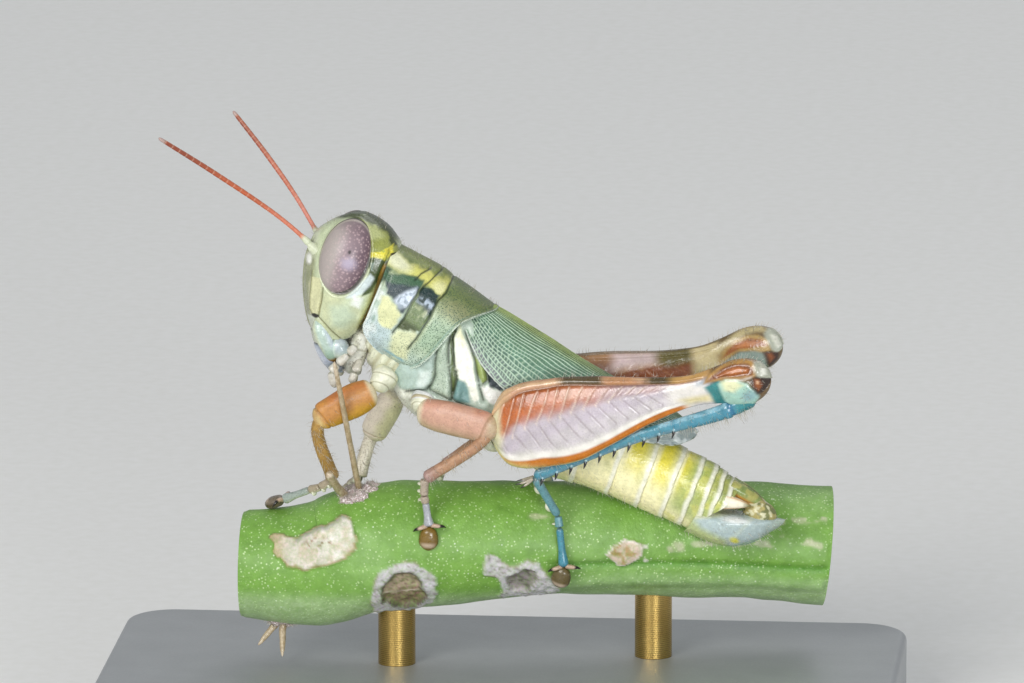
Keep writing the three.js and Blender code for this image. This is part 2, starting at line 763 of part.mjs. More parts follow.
/** Low corky pads where the stem's other areoles sit. */
function areolePads() {
  const pads = [
    { at: [-3.7, -1.6, 6.5], half: [1.25, 0.6, 0.8] },
    { at: [-7.1, -2.0, 8.3], half: [1.6, 0.5, 0.75] },
    { at: [1.1, -0.85, 6.85], half: [1.3, 0.6, 0.65] },
    { at: [5.2, -0.2, 7.9], half: [0.75, 0.3, 0.6] },
    { at: [-8.8, 0.1, 4.95], half: [0.7, 0.6, 0.45] },
  ];
  return pads.map((pad) => ball({ ...pad, sides: 8, rings: 5 }));
}

function plateShape() {
  const { length, width, thickness, corner, edge } = PLATE;
  const x = length / 2 - edge;
  const y = width / 2 - edge;
  const outline = new THREE.Shape();
  outline.moveTo(-x + corner, -y);
  outline.lineTo(x - corner, -y);
  outline.absarc(x - corner, -y + corner, corner, -Math.PI / 2, 0);
  outline.absarc(x - corner, y - corner, corner, 0, Math.PI / 2);
  outline.absarc(-x + corner, y - corner, corner, Math.PI / 2, Math.PI);
  outline.absarc(-x + corner, -y + corner, corner, Math.PI, 1.5 * Math.PI);
  const geometry = new THREE.ExtrudeGeometry(outline, {
    depth: thickness - 2 * edge,
    bevelEnabled: true,
    bevelThickness: edge,
    bevelSize: edge,
    bevelSegments: 1,
    curveSegments: 4,
  });
  return geometry.translate(0, 0, edge);
}

// ---------------------------------------------------------------- putting it together

const pronotum = pronotumSolid();
const pronotumRoom = pronotumSolid(GAP);
const tegminaRoom = SIDES.map(([, side]) => tegmenSolid(side, GAP));
const thoraxRoom = thoraxSolid(GAP);
const abdomenRoom = abdomenSolid(GAP);
const thorax = without(thoraxSolid(), pronotumRoom, ...tegminaRoom);
const prosternum = without(prosternumSolid(), pronotumRoom, thoraxRoom);
add(trunk, "pronotum", pronotum, sage);
add(trunk, "thorax", thorax, sage);
add(trunk, "prosternum", prosternum, cream);
add(trunk, "abdomen", without(abdomenSolid(), thoraxRoom, ...tegminaRoom), yellow);
for (const [word, side] of SIDES) {
  add(trunk, `tegmen_${word}`, without(tegmenSolid(side), pronotumRoom), wingGreen);
}

// Tail end: the small plates round the tip of the abdomen.
const cercus = (side, grow = 0) => limb({
  line: [
    fromFrame(trunk, [16.35, side * 0.72, -1.62]),
    fromFrame(trunk, [17.4, side * 0.62, -1.2]),
  ],
  size: [[0, 0.3, 0.25], [0.6, 0.25, 0.25], [1, 0.1, 0.15]],
  round: [0.1, 0.1],
  sides: 8,
  steps: 4,
  grow,
});
const pallium = ball({
  at: fromFrame(trunk, [17.85, 0, -1.35]), half: [0.75, 0.5, 0.5], turn: [0, 32, 0], sides: 8, rings: 6,
});
const cerciRoom = SIDES.map(([, side]) => cercus(side, MEMBRANE));
const platesRoom = [supraAnalSolid(MEMBRANE), subgenitalSolid(MEMBRANE)];
add(trunk, "supra_anal_plate", without(supraAnalSolid(), abdomenRoom, ...cerciRoom), yellow);
add(trunk, "subgenital_plate", without(subgenitalSolid(), abdomenRoom, ...cerciRoom), pearl);
add(trunk, "pallium", without(pallium, abdomenRoom, ...platesRoom, ...cerciRoom), cream);
for (const [word, side] of SIDES) {
  add(trunk, `cercus_${word}`, without(cercus(side), abdomenRoom), cream);
}

// Head: the capsule, its eyes and antennae, then the mouthparts from the lip inwards.
const ANTENNA_BENDS = {
  left: [[-7.72, -0.8, 20.54], [-8.8, -1.1, 21.55], [-11.2, -1.95, 23.4], [-13.35, -2.95, 25.0]],
  right: [[-7.46, 0.85, 20.56], [-8.35, 1.05, 22.0], [-9.55, 1.55, 23.55], [-10.95, 2.2, 25.15]],
};
const eyesRoom = SIDES.map(([, side]) => eye(side, MEMBRANE));
const head = without(headSolid(), pronotumRoom, ...eyesRoom);
add(headFrame, "head", head, sage);
for (const [word, side] of SIDES) {
  const antenna = antennaSolid(side, ANTENNA_BENDS[word]);
  add(headFrame, `eye_${word}`, eye(side), eyeGrey);
  add(headFrame, `antenna_${word}`, without(antenna, head, ...eyesRoom), antennaOrange);
}

const labrum = labrumSolid();
const capsule = [pronotumRoom, headSolid()];
const mandiblesRoom = SIDES.map(([, side]) => mandible(side, MEMBRANE));
const maxillaeRoom = SIDES.map(([, side]) => maxilla(side, MEMBRANE));
const mouthRoom = [...capsule, labrum, ...mandiblesRoom, ...maxillaeRoom];
add(headFrame, "labrum", without(labrum, ...capsule), pearl);
for (const [word, side] of SIDES) {
  const jaw = without(mandible(side), ...capsule, labrum, mandible(-side, MEMBRANE));
  add(headFrame, `mandible_${word}`, jaw, pearl);
  add(headFrame, `maxilla_${word}`, without(maxilla(side), ...capsule, labrum, ...mandiblesRoom), pearl);
}
add(headFrame, "labium", without(labium(), ...mouthRoom, prosternum), cream);
for (const [word, side] of SIDES) {
  const maxillary = palpSolid([
    fromFrame(headFrame, [0.05, side * 0.95, -2.05]), fromFrame(headFrame, [-0.42, side * 1.12, -2.45]),
    fromFrame(headFrame, [-0.7, side * 1.2, -2.75]), fromFrame(headFrame, [-0.5, side * 1.1, -3.4]),
  ]);
  const labial = palpSolid([
    fromFrame(headFrame, [0.42, side * 0.45, -2.35]), fromFrame(headFrame, [0.25, side * 0.75, -2.85]),
    fromFrame(headFrame, [0.1, side * 0.8, -3.3]),
  ]);
  add(headFrame, `maxillary_palp_${word}`, without(maxillary, ...mouthRoom, labium(MEMBRANE)), cream);
  add(headFrame, `labial_palp_${word}`, without(labial, ...mouthRoom, labium(MEMBRANE), maxillary), cream);
}

// Legs: each pair is of one build, but every foot stands where it can grip.
const stemRoom = stem(MEMBRANE);
const PAIRS = {
  fore: { sizes: FORE_SIZES, coxa: 0.5, shade: orangeLeg, shinShade: orangeLeg, footShade: pinkLeg },
  mid: { sizes: MID_SIZES, coxa: 0.5, shade: pinkLeg, shinShade: pinkLeg, footShade: pinkLeg },
  hind: { coxa: 0.62, shade: femurLilac, shinShade: tibiaBlue, footShade: tibiaBlue },
};
for (const [name, leg] of Object.entries(LEGS)) {
  const pair = PAIRS[name.split("_")[0]];
  const { side } = leg;
  const hind = !pair.sizes;
  const femur = hind ? hindFemurSolid(side) : femurSolid(leg, pair.sizes);
  const femurRoom = hind ? hindFemurSolid(side, GAP) : femurSolid(leg, pair.sizes, GAP);
  const tibia = hind ? hindTibiaSolid(leg) : tibiaSolid(leg, pair.sizes);
  const coxa = without(coxaSolid(leg, pair.coxa), pronotumRoom, thoraxRoom, prosternumSolid(GAP));
  const hips = [coxaSolid(leg, pair.coxa, MEMBRANE), thorax];
  const beside = hind ? [] : [hindFemurSolid(side, GAP)];
  add(legs, `${name}_coxa`, coxa, cream);
  add(legs, `${name}_femur`, without(femur, ...hips, ...beside), pair.shade);
  add(legs, `${name}_tibia`, without(tibia, femurRoom, stemRoom), pair.shinShade);
  add(legs, `${name}_tarsus`, without(tarsusSolid(leg), tibia, femurRoom, stemRoom), pair.footShade);
}

// Perch and stand: two rods stand on the plate, each hollowed at its top to seat the stem.
add(stand, "perch_stem", joined(stem(), ...areolePads(), spinyAreole(), ...hangingSpines()), stemGreen);
add(stand, "stand_base", solidOf(plateShape()), plateGrey);
for (const [word, x, y] of RODS) {
  const reach = 4;
  const rod = new THREE.CylinderGeometry(ROD_RADIUS, ROD_RADIUS, reach, 20);
  rod.rotateX(Math.PI / 2);
  rod.translate(x, y, PLATE.thickness + reach / 2);
  add(stand, `stand_rod_${word}`, without(solidOf(rod), stemRoom), rodMetal);
}

export default grasshopper;
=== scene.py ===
# A male cactus grasshopper, life size, head up on a cut length of slender cactus stem, on a plain stand.
# It is put together as the animal is: trunk plates, then wings, tail, head, legs, and what it stands on.
# Shapes are worked out in millimetres and turned to metres when a mesh is made.

import math

import bpy
import numpy as np
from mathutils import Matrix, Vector


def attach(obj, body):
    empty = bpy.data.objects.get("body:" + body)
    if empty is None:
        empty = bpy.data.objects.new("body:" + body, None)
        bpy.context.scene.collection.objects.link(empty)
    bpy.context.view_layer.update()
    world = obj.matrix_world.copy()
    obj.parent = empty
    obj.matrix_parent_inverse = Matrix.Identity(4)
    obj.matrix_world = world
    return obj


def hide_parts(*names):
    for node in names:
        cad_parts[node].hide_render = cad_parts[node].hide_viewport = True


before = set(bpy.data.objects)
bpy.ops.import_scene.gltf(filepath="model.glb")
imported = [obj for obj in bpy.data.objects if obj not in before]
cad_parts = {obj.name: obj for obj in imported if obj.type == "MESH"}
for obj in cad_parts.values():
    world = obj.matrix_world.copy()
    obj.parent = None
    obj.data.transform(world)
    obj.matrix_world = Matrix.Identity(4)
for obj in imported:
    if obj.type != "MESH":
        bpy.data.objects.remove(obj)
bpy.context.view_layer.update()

MM = 0.001
TAU = 2 * math.pi


# ---- Studio: a wide pale floor, a large soft lamp low at the head end, and two weaker lamps, front and back.
# The camera stands nearly square to the animal's side and looks slightly down, as at a thing on a shelf.

AIM = Vector((0.48, 0, 16.37)) * MM
CAMERA_TURN, CAMERA_RISE = math.radians(5), math.radians(12)
LENS, AWAY = 400, 455.1 * MM


def from_aim(turn, rise, distance):
    """A place at a distance from the aim point: turn 0 is in front of the insect's left side."""
    flat = math.cos(rise)
    return AIM + Vector((math.sin(turn) * flat, -math.cos(turn) * flat, math.sin(rise))) * distance


def look_at_aim(thing, place):
    thing.location = place
    thing.rotation_euler = (place - AIM).to_track_quat("Z", "Y").to_euler()
    bpy.context.scene.collection.objects.link(thing)


camera = bpy.data.objects.new("camera", bpy.data.cameras.new("camera"))
camera.data.lens = LENS
camera.data.sensor_width = 36
camera.data.clip_start = 0.01
camera.data.clip_end = 20
look_at_aim(camera, from_aim(CAMERA_TURN, CAMERA_RISE, AWAY))
bpy.context.scene.camera = camera

LAMPS = [  # name, turn, rise, distance, width, power, colour
    ("key_lamp", -24, 25, 0.5, 0.26, 1.55, (1.0, 0.98, 0.95)),
    ("fill_lamp", 20, 5, 0.5, 0.16, 1.1, (0.96, 0.98, 1.0)),
    ("back_lamp", 160, 55, 0.5, 0.30, 0.35, (1.0, 1.0, 1.0)),
]
for name, turn, rise, distance, width, power, colour in LAMPS:
    lamp = bpy.data.objects.new(name, bpy.data.lights.new(name, "AREA"))
    lamp.data.shape = "DISK"
    lamp.data.size = width
    lamp.data.energy = power
    lamp.data.color = colour
    look_at_aim(lamp, from_aim(math.radians(turn), math.radians(rise), distance))

room = bpy.data.worlds.new("room")
room.use_nodes = True
room.node_tree.nodes["Background"].inputs["Color"].default_value = (0.93, 0.96, 1.0, 1)
room.node_tree.nodes["Background"].inputs["Strength"].default_value = 0.4
bpy.context.scene.world = room
bpy.context.scene.view_settings.view_transform = "Standard"


class Finish:
    """One material, with its nodes added by kind and wired by socket name."""

    def __init__(self, name, **surface):
        self.material = bpy.data.materials.new(name)
        self.material.use_nodes = True
        self.nodes = self.material.node_tree.nodes
        self.shader = self.nodes["Principled BSDF"]
        self.place = self.add("TexCoord").outputs["Object"]
        self.wire(self.shader, **surface)

    def wire(self, made, **inputs):
        for key, value in inputs.items():
            if hasattr(made, key):
                setattr(made, key, value)
                continue
            socket = made.inputs[key.replace("_", " ")]
            if isinstance(value, bpy.types.NodeSocket):
                self.material.node_tree.links.new(value, socket)
            else:
                socket.default_value = value
        return made

    def add(self, kind, **inputs):
        return self.wire(self.nodes.new("ShaderNode" + kind), **inputs)

    def layer(self, name, output):
        """A value stored at the mesh's own points."""
        return self.add("Attribute", attribute_name=name).outputs[output]

    def noise(self, size, detail=3):
        """Soft noise whose lumps are about `size` millimetres across, 0 to 1."""
        return self.add("TexNoise", Vector=self.place, Scale=1 / (size * MM), Detail=detail).outputs["Fac"]

    def dots(self, size):
        """Distance from the nearest of many scattered dots, `size` millimetres apart."""
        return self.add("TexVoronoi", Vector=self.place, Scale=1 / (size * MM)).outputs["Distance"]

    def spread(self, value, low, high, first=0.0, last=1.0):
        """Stretches low..high of a value to first..last."""
        spread = self.add("MapRange", Value=value)
        for socket, number in zip(("From Min", "From Max", "To Min", "To Max"), (low, high, first, last)):
            spread.inputs[socket].default_value = number
        return spread.outputs["Result"]

    def times(self, one, other):
        product = self.add("Math", operation="MULTIPLY")
        for socket, value in zip(product.inputs, (one, other)):
            if isinstance(value, bpy.types.NodeSocket):
                self.material.node_tree.links.new(value, socket)
            else:
                socket.default_value = value
        return product.outputs["Value"]

    def mix(self, amount, under, over, blend="MIX"):
        return self.add("MixRGB", blend_type=blend, Fac=amount, Color1=under, Color2=over).outputs["Color"]

    def bump(self, height, depth, under=None):
        """A bump `depth` millimetres high, on top of another bump if one is given."""
        made = self.add("Bump", Height=height, Distance=depth * MM, Strength=1.0)
        if under:
            self.wire(made, Normal=under)
        return made.outputs["Normal"]


def tint(code):
    """A colour written as six hex digits, as the linear colour that a shader takes."""
    shares = [int(code[i:i + 2], 16) / 255 for i in (0, 2, 4)]
    return tuple(s / 12.92 if s <= 0.04045 else ((s + 0.055) / 1.055) ** 2.4 for s in shares)


def solid_tint(code):
    return (*tint(code), 1.0)


floor_size = 3.0
floor_mesh = bpy.data.meshes.new("floor")
edge = floor_size / 2
floor_mesh.from_pydata([(-edge, -edge, 0), (edge, -edge, 0), (edge, edge, 0), (-edge, edge, 0)], [],
    [(0, 1, 2, 3)])
floor = bpy.data.objects.new("floor", floor_mesh)
bpy.context.scene.collection.objects.link(floor)
paper = Finish("floor_paper", Roughness=0.85)
grain_of_paper = paper.noise(0.6, 2)
paper_colour = paper.mix(paper.spread(grain_of_paper, 0.3, 0.7), solid_tint("f0f0ee"), solid_tint("ecece9"))
paper.wire(paper.shader, Base_Color=paper_colour)
floor.data.materials.append(paper.material)


# ---- Pronotum: the saddle of cuticle over the first ring of the thorax, with a free hind and lower edge.
# It is one stiff plate, pinched by three cross grooves, and its collar takes the back of the head.

PITCH = math.radians(32)
NECK = np.array((-4.0, 0, 20.2))
PRONOTUM_DEPTH, PRONOTUM_HALF = 4.0, 1.82


def through(stations):
    """A smooth function through [place, value] stations, level beyond both ends."""
    places, values = np.array(stations, float).T
    last = len(places) - 1
    before = np.maximum(np.arange(last + 1) - 1, 0)
    after = np.minimum(np.arange(last + 1) + 1, last)
    slopes = (values[after] - values[before]) / (places[after] - places[before])

    def value(place):
        place = np.asarray(place, float)
        i = np.clip(np.searchsorted(places, place) - 1, 0, last - 1)
        span = places[i + 1] - places[i]
        u = np.clip((place - places[i]) / span, 0, 1)
        rise = (u**3 - 2 * u**2 + u) * span * slopes[i] + (u**3 - u**2) * span * slopes[i + 1]
        return (2 * u**3 - 3 * u**2 + 1) * values[i] + (3 * u**2 - 2 * u**3) * values[i + 1] + rise

    return value


def squared(value, power):
    """cos or sin raised for a squarer outline, keeping its sign."""
    return np.sign(value) * np.abs(value) ** (2 / power)


def eased(rows):
    """Places along a piece, drawn closer together towards its ends."""
    along = np.linspace(0, 1, rows)
    return along + 0.7 * (0.5 - 0.5 * np.cos(math.pi * along) - along)


def loft(span, top, bottom, half, widest, front=None, hind=None, powers=(2.3, 2.3), rows=160, sides=180):
    """A plate in the trunk's frame (x back, z up) lofted along x, as a grid of points."""
    along = eased(rows)[:, None]
    angle = np.linspace(0, TAU, sides, endpoint=False)[None, :]
    plain = span[0] + (span[1] - span[0]) * along
    lift = np.sin(angle)
    power = np.where(lift > 0, powers[0], powers[1])
    middle = widest(plain)
    reach = np.where(lift > 0, top(plain) - middle, middle - bottom(plain))
    level = middle + reach * squared(lift, power)
    start = front(level) if front else span[0]
    end = hind(level) if hind else span[1]
    breadth = half(plain) * squared(np.cos(angle), power)
    return np.stack([start + (end - start) * along + 0 * level, breadth, level], -1)


def outward(grid):
    """Unit normals of a wrapped grid of points, facing away from the middle of each ring."""
    round_it = np.roll(grid, -1, 1) - np.roll(grid, 1, 1)
    normal = np.cross(round_it, np.gradient(grid, axis=0))
    normal /= np.maximum(np.linalg.norm(normal, axis=-1, keepdims=True), 1e-9)
    away = grid - grid.mean(1, keepdims=True)
    return normal * np.where((normal * away).sum() < 0, -1, 1)


def on_trunk(grid):
    """Points of the trunk's frame in the object's frame."""
    x, y, z = np.moveaxis(grid, -1, 0)
    turned = np.stack([x * math.cos(PITCH) + z * math.sin(PITCH), y,
            z * math.cos(PITCH) - x * math.sin(PITCH)], -1)
    return turned + NECK


def ramp(value, low, high):
    """0 below low, 1 above high, smooth between."""
    u = np.clip((value - low) / (high - low), 0, 1)
    return u * u * (3 - 2 * u)


def stripe(distance, half, soft):
    """1 within `half` of a line, fading out over `soft`."""
    return 1 - ramp(np.abs(distance), half - soft / 2, half + soft / 2)


def to_line(x, z, points):
    """Distance from each place to a line of straight strokes through points."""
    near = np.full(np.shape(x), 9.0)
    for (ax, az), (bx, bz) in zip(points, points[1:]):
        dx, dz = bx - ax, bz - az
        share = np.clip(((x - ax) * dx + (z - az) * dz) / (dx * dx + dz * dz), 0, 1)
        near = np.minimum(near, np.hypot(x - ax - share * dx, z - az - share * dz))
    return near


def patch(x, z, corners, soft=0.1):
    """1 inside a closed outline, with an edge that fades over `soft`."""
    inside = np.zeros(np.shape(x), bool)
    for (ax, az), (bx, bz) in zip(corners, corners[1:] + corners[:1]):
        slope = (bx - ax) / (bz - az if bz != az else 1e-9)
        inside ^= ((az > z) != (bz > z)) & (x < ax + (z - az) * slope)
    border = to_line(x, z, corners + corners[:1])
    return ramp(np.where(inside, border, -border), -soft / 2, soft / 2)


def spot(x, z, centre, radii, turn=0, soft=0.25):
    """1 inside an oval with the given centre and radii, turned in degrees."""
    c, s = math.cos(math.radians(turn)), math.sin(math.radians(turn))
    dx, dz = x - centre[0], z - centre[1]
    far = np.hypot((dx * c + dz * s) / radii[0], (dz * c - dx * s) / radii[1])
    return 1 - ramp(far, 1 - soft, 1 + soft)


def grain(points, size, seed):
    """Smooth noise from 0 to 1 at points, with lumps about `size` across."""
    lattice = np.random.default_rng(seed).random((16, 16, 16))
    at = np.asarray(points) / size + 100
    low = np.floor(at).astype(int)
    u = at - low
    u = u * u * (3 - 2 * u)
    total = 0
    for corner in np.ndindex(2, 2, 2):
        share = np.prod(np.where(corner, u, 1 - u), -1)
        total = total + share * lattice[tuple(np.moveaxis((low + corner) % 16, -1, 0))]
    return total


def coat_of(grid, code):
    """A first coat of one colour over a whole grid."""
    return np.broadcast_to(np.array(tint(code)), grid.shape).copy()


def dab(paint, mask, code, strength=1.0):
    """Lays a colour over the paint where the mask is 1."""
    share = (np.clip(mask, 0, 1) * strength)[..., None]
    paint += share * (np.array(tint(code)) - paint)


def make_mesh(name, points, loops, starts, uv, colours=None, flecks=None):
    """A smooth mesh from millimetre points and flat lists of face corners."""
    mesh = bpy.data.meshes.new(name)
    mesh.vertices.add(len(points))
    mesh.vertices.foreach_set("co", (np.asarray(points, float) * MM).ravel())
    mesh.loops.add(len(loops))
    mesh.loops.foreach_set("vertex_index", loops)
    mesh.polygons.add(len(starts))
    mesh.polygons.foreach_set("loop_start", starts)
    mesh.polygons.foreach_set("use_smooth", np.ones(len(starts), bool))
    mesh.update(calc_edges=True)
    mesh.uv_layers.new(name="OFBake").data.foreach_set("uv", np.asarray(uv, float).ravel())
    if colours is not None:
        layer = mesh.color_attributes.new("paint", "FLOAT_COLOR", "POINT")
        layer.data.foreach_set("color", np.column_stack([colours, np.ones(len(points))]).ravel())
    if flecks is not None:
        layer = mesh.attributes.new("fleck", "FLOAT", "POINT")
        layer.data.foreach_set("value", np.asarray(flecks, float).ravel())
    return mesh


def mount(mesh, material, nodes):
    """Gives a mesh its material and puts it on the body in place of its nodes."""
    mesh.materials.append(material)
    made = bpy.data.objects.new(mesh.name, mesh)
    bpy.context.scene.collection.objects.link(made)
    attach(made, "root")
    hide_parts(*nodes)


def map_places(rows, sides):
    """How far round and how far along each point of a tube lies on its map."""
    along, round_it = np.meshgrid(np.linspace(0.06, 0.94, rows), np.arange(sides) / sides, indexing="ij")
    return round_it, along


def faces_of(rows, sides, first):
    """Corner indices of a tube's quads and of the fans that close its two ends, with their map places."""
    here = first + np.arange(rows * sides).reshape(rows, sides)
    beside = np.roll(here, -1, 1)
    quads = np.stack([here[:-1], here[1:], beside[1:], beside[:-1]], -1).reshape(-1, 4)
    u, v = map_places(rows, sides)
    step = 1 / sides
    quad_uv = np.stack([
            np.stack([u[:-1], v[:-1]], -1), np.stack([u[:-1], v[1:]], -1),
            np.stack([u[:-1] + step, v[1:]], -1), np.stack([u[:-1] + step, v[:-1]], -1),
        ], 2).reshape(-1, 4, 2)
    fans, fan_uv = [], []
    for row, middle, level, flip in ((0, 0, 0.025, False), (rows - 1, 1, 0.975, True)):
        ring, ahead = here[row], beside[row]
        centre = np.full(sides, first + rows * sides + middle)
        turn = np.arange(sides + 1) / sides * TAU
        rim = np.stack([0.025 + 0.02 * np.cos(turn), level + 0.02 * np.sin(turn)], -1)
        hub = np.broadcast_to((0.025, level), (sides, 2))
        if flip:
            fans.append(np.stack([centre, ahead, ring], -1))
            fan_uv.append(np.stack([hub, rim[1:], rim[:-1]], 1))
        else:
            fans.append(np.stack([centre, ring, ahead], -1))
            fan_uv.append(np.stack([hub, rim[:-1], rim[1:]], 1))
    return quads, np.concatenate(fans), quad_uv, np.concatenate(fan_uv)


def piece(name, grids, material, nodes, paints=None, flecks=None):
    """A closed piece made of one or more tubes of points, riding on the body in place of its nodes."""
    points, loops, starts, uv, colours, marks = [], [], [], [], [], []
    vertices = corners = 0
    for k, grid in enumerate(grids):
        rows, sides = grid.shape[:2]
        quads, fans, quad_uv, fan_uv = faces_of(rows, sides, vertices)
        inside = np.einsum("ijk,ijk->", outward(grid), np.cross(
                np.gradient(grid, axis=0), np.roll(grid, -1, 1) - np.roll(grid, 1, 1)))
        if inside > 0:
            quads, fans, quad_uv, fan_uv = quads[:, ::-1], fans[:, ::-1], quad_uv[:, ::-1], fan_uv[:, ::-1]
        points += [grid.reshape(-1, 3), grid[0].mean(0)[None], grid[-1].mean(0)[None]]
        loops += [quads.ravel(), fans.ravel()]
        starts += [corners + 4 * np.arange(len(quads)), corners + 4 * len(quads) + 3 * np.arange(len(fans))]
        corners += 4 * len(quads) + 3 * len(fans)
        tiles = max(1, math.ceil(math.sqrt(len(grids))))
        shift = np.array((k % tiles, k // tiles))
        uv += [(quad_uv.reshape(-1, 2) + shift) / tiles, (fan_uv.reshape(-1, 2) + shift) / tiles]
        if paints is not None:
            paint = paints[k]
            colours += [paint.reshape(-1, 3), paint[0].mean(0)[None], paint[-1].mean(0)[None]]
        if flecks is not None:
            marks += [flecks[k].ravel(), [0.0, 0.0]]
        vertices += rows * sides + 2
    mesh = make_mesh(name, np.concatenate(points), np.concatenate(loops), np.concatenate(starts),
        np.concatenate(uv), np.concatenate(colours) if colours else None,
        np.concatenate(marks) if marks else None)
    mount(mesh, material, nodes)


def hairs(name, grids, chances, count, length, way, nodes, seed, thick=0.011, code="e6e2d6"):
    """Fine bent hairs, each a closed three-sided spike, rooted in skins where their chance is high."""
    rng = np.random.default_rng(seed)
    roots, faces_out, weight, place = [], [], [], []
    for grid, chance in zip(grids, chances):
        round_it = np.roll(grid, -1, 1) - np.roll(grid, 1, 1)
        area = np.linalg.norm(np.cross(round_it, np.gradient(grid, axis=0)), axis=-1)
        roots.append(grid.reshape(-1, 3))
        faces_out.append(outward(grid).reshape(-1, 3))
        weight.append((area * np.clip(chance, 0, 1)).ravel())
        place.append(np.stack(map_places(*grid.shape[:2]), -1).reshape(-1, 2))
    weight = np.concatenate(weight)
    picked = rng.choice(len(weight), count, p=weight / weight.sum())
    root, out = np.concatenate(roots)[picked], np.concatenate(faces_out)[picked]
    way_out = out + np.array(way) + rng.normal(0, 0.22, (count, 3))
    way_out /= np.linalg.norm(way_out, axis=1, keepdims=True)
    reach = rng.uniform(length[0], length[1], (count, 1))
    side = np.cross(way_out, rng.normal(0, 1, (count, 3)))
    side /= np.linalg.norm(side, axis=1, keepdims=True)
    other = np.cross(way_out, side)
    rings = []
    for share, width in ((-0.06, 1.0), (0.5, 0.7)):
        middle = root + way_out * reach * share
        rings += [middle + thick * width * (side * math.cos(k * TAU / 3) + other * math.sin(k * TAU / 3))
            for k in range(3)]
    rings.append(root + (way_out + side * 0.18) * reach)
    points = np.stack(rings, 1)
    corners = [0, 1, 4, 3, 1, 2, 5, 4, 2, 0, 3, 5, 3, 4, 6, 4, 5, 6, 5, 3, 6, 2, 1, 0]
    loops = (7 * np.arange(count)[:, None] + corners).ravel()
    starts = (24 * np.arange(count)[:, None] + [0, 4, 8, 12, 15, 18, 21]).ravel()
    spread = np.array([(0, 0), (1, 0), (2, 0), (0, 1), (1, 1), (2, 1), (1, 2)]) * 0.0015
    uv = (np.concatenate(place)[picked][:, None] + spread[corners]).reshape(-1, 2)
    mesh = make_mesh(name, points.reshape(-1, 3), loops, starts, uv)
    if "hair_" + code not in bpy.data.materials:
        finish = Finish("hair_" + code, Roughness=0.45)
        strands = finish.noise(0.05, 2)
        finish.wire(finish.shader, Base_Color=finish.mix(strands, solid_tint(code), solid_tint("a89f8c")),
            Normal=finish.bump(strands, 0.002))
    mount(mesh, bpy.data.materials["hair_" + code], nodes)


def cuticle(name, gloss=0.34, fleck="2c3a22", fleck_size=0.09, mottle=0.35, pit=0.012, coat=0.3):
    """Insect shell: its paint gently mottled, dark flecks where asked for, fine pits, and a waxy gloss."""
    shell = Finish(name, Coat_Weight=coat, Coat_Roughness=0.18)
    paint = shell.layer("paint", "Color")
    marks = shell.layer("fleck", "Fac")
    lumps = shell.noise(mottle, 4)
    shade = shell.mix(shell.spread(lumps, 0.35, 0.7, 0.0, 0.28), paint, solid_tint("8d9478"), "MULTIPLY")
    lit = shell.mix(shell.spread(shell.noise(0.12, 3), 0.5, 0.75, 0.0, 0.4), shade, solid_tint("e9ead8"),
        "SOFT_LIGHT")
    near = shell.dots(fleck_size)
    freckle = shell.times(shell.spread(near, 0.24, 0.40, 1.0, 0.0), marks)
    shell.wire(shell.shader, Base_Color=shell.mix(freckle, lit, solid_tint(fleck)),
        Roughness=shell.spread(shell.noise(0.2, 2), 0.3, 0.7, gloss - 0.08, gloss + 0.1),
        Normal=shell.bump(near, pit, shell.bump(shell.noise(0.25, 4), pit * 1.6)))
    return shell.material


pronotum = loft(
    span=(-0.15, 4.64),
    top=through([[-0.15, 0], [0.9, 0.13], [1.9, 0.2], [2.5, 0.13], [4.64, 0.0]]),
    bottom=lambda x: -PRONOTUM_DEPTH + 0 * x,
    half=through([[-0.15, 0.9 * PRONOTUM_HALF], [2, 0.97 * PRONOTUM_HALF], [4.64, PRONOTUM_HALF]]),
    widest=lambda x: -2.2 + 0 * x,
    front=through([[-4.0, 2.1], [-3.75, 1.15], [-3.4, 0.52], [-2.8, 0.35], [-1.5, 0.12], [-0.4, -0.12],
            [0.1, -0.15]]),
    hind=through([[-4.0, 2.2], [-3.7, 2.95], [-3.0, 3.3], [-1.5, 3.55], [-1.0, 3.68], [-0.42, 4.12],
            [0, 4.64]]),
    powers=(2.25, 3.2), rows=290, sides=320,
)
X, Y, Z = np.moveaxis(pronotum, -1, 0)
wander = 0.16 * (grain(pronotum, 0.5, 1) - 0.5) + 0.08 * (grain(pronotum, 0.17, 2) - 0.5)
GROOVES = [  # (x, z) points of each cross groove, and its depth
    ([(1.5, 0.06), (1.27, -0.25), (1.2, -0.55)], 0.035),
    ([(1.9, 0.2), (1.66, -0.46), (1.55, -0.9), (1.58, -1.5), (1.63, -2.1), (1.57, -2.8)], 0.07),
    ([(2.44, 0.2), (2.52, -0.3), (2.43, -0.7), (2.49, -1.4), (2.5, -2.2), (2.41, -3.05)], 0.09),
]
groove_marks = 0
relief = 0.05 * (grain(pronotum, 1.1, 3) - 0.5)
for line, depth in GROOVES:
    away = to_line(X + 0.25 * wander, Z, line)
    shallow = 0.35 + 0.65 * ramp(-Z, 0.05, 0.5)
    relief = relief - shallow * depth * (np.exp(-(away / 0.05) ** 2) + 0.35 * np.exp(-(away / 0.16) ** 2))
    groove_marks = groove_marks + np.exp(-(away / 0.035) ** 2)
front_edge, hind_edge = pronotum[0][None], pronotum[-1][None]
to_hind = np.linalg.norm(pronotum - hind_edge, axis=-1)
to_front = np.linalg.norm(pronotum - front_edge, axis=-1)
to_foot = Z + PRONOTUM_DEPTH
hem = np.maximum(stripe(to_hind, 0.05, 0.05), stripe(to_foot, 0.07, 0.06))
relief = relief + 0.035 * hem - 0.03 * stripe(to_hind - 0.15, 0.06, 0.08)
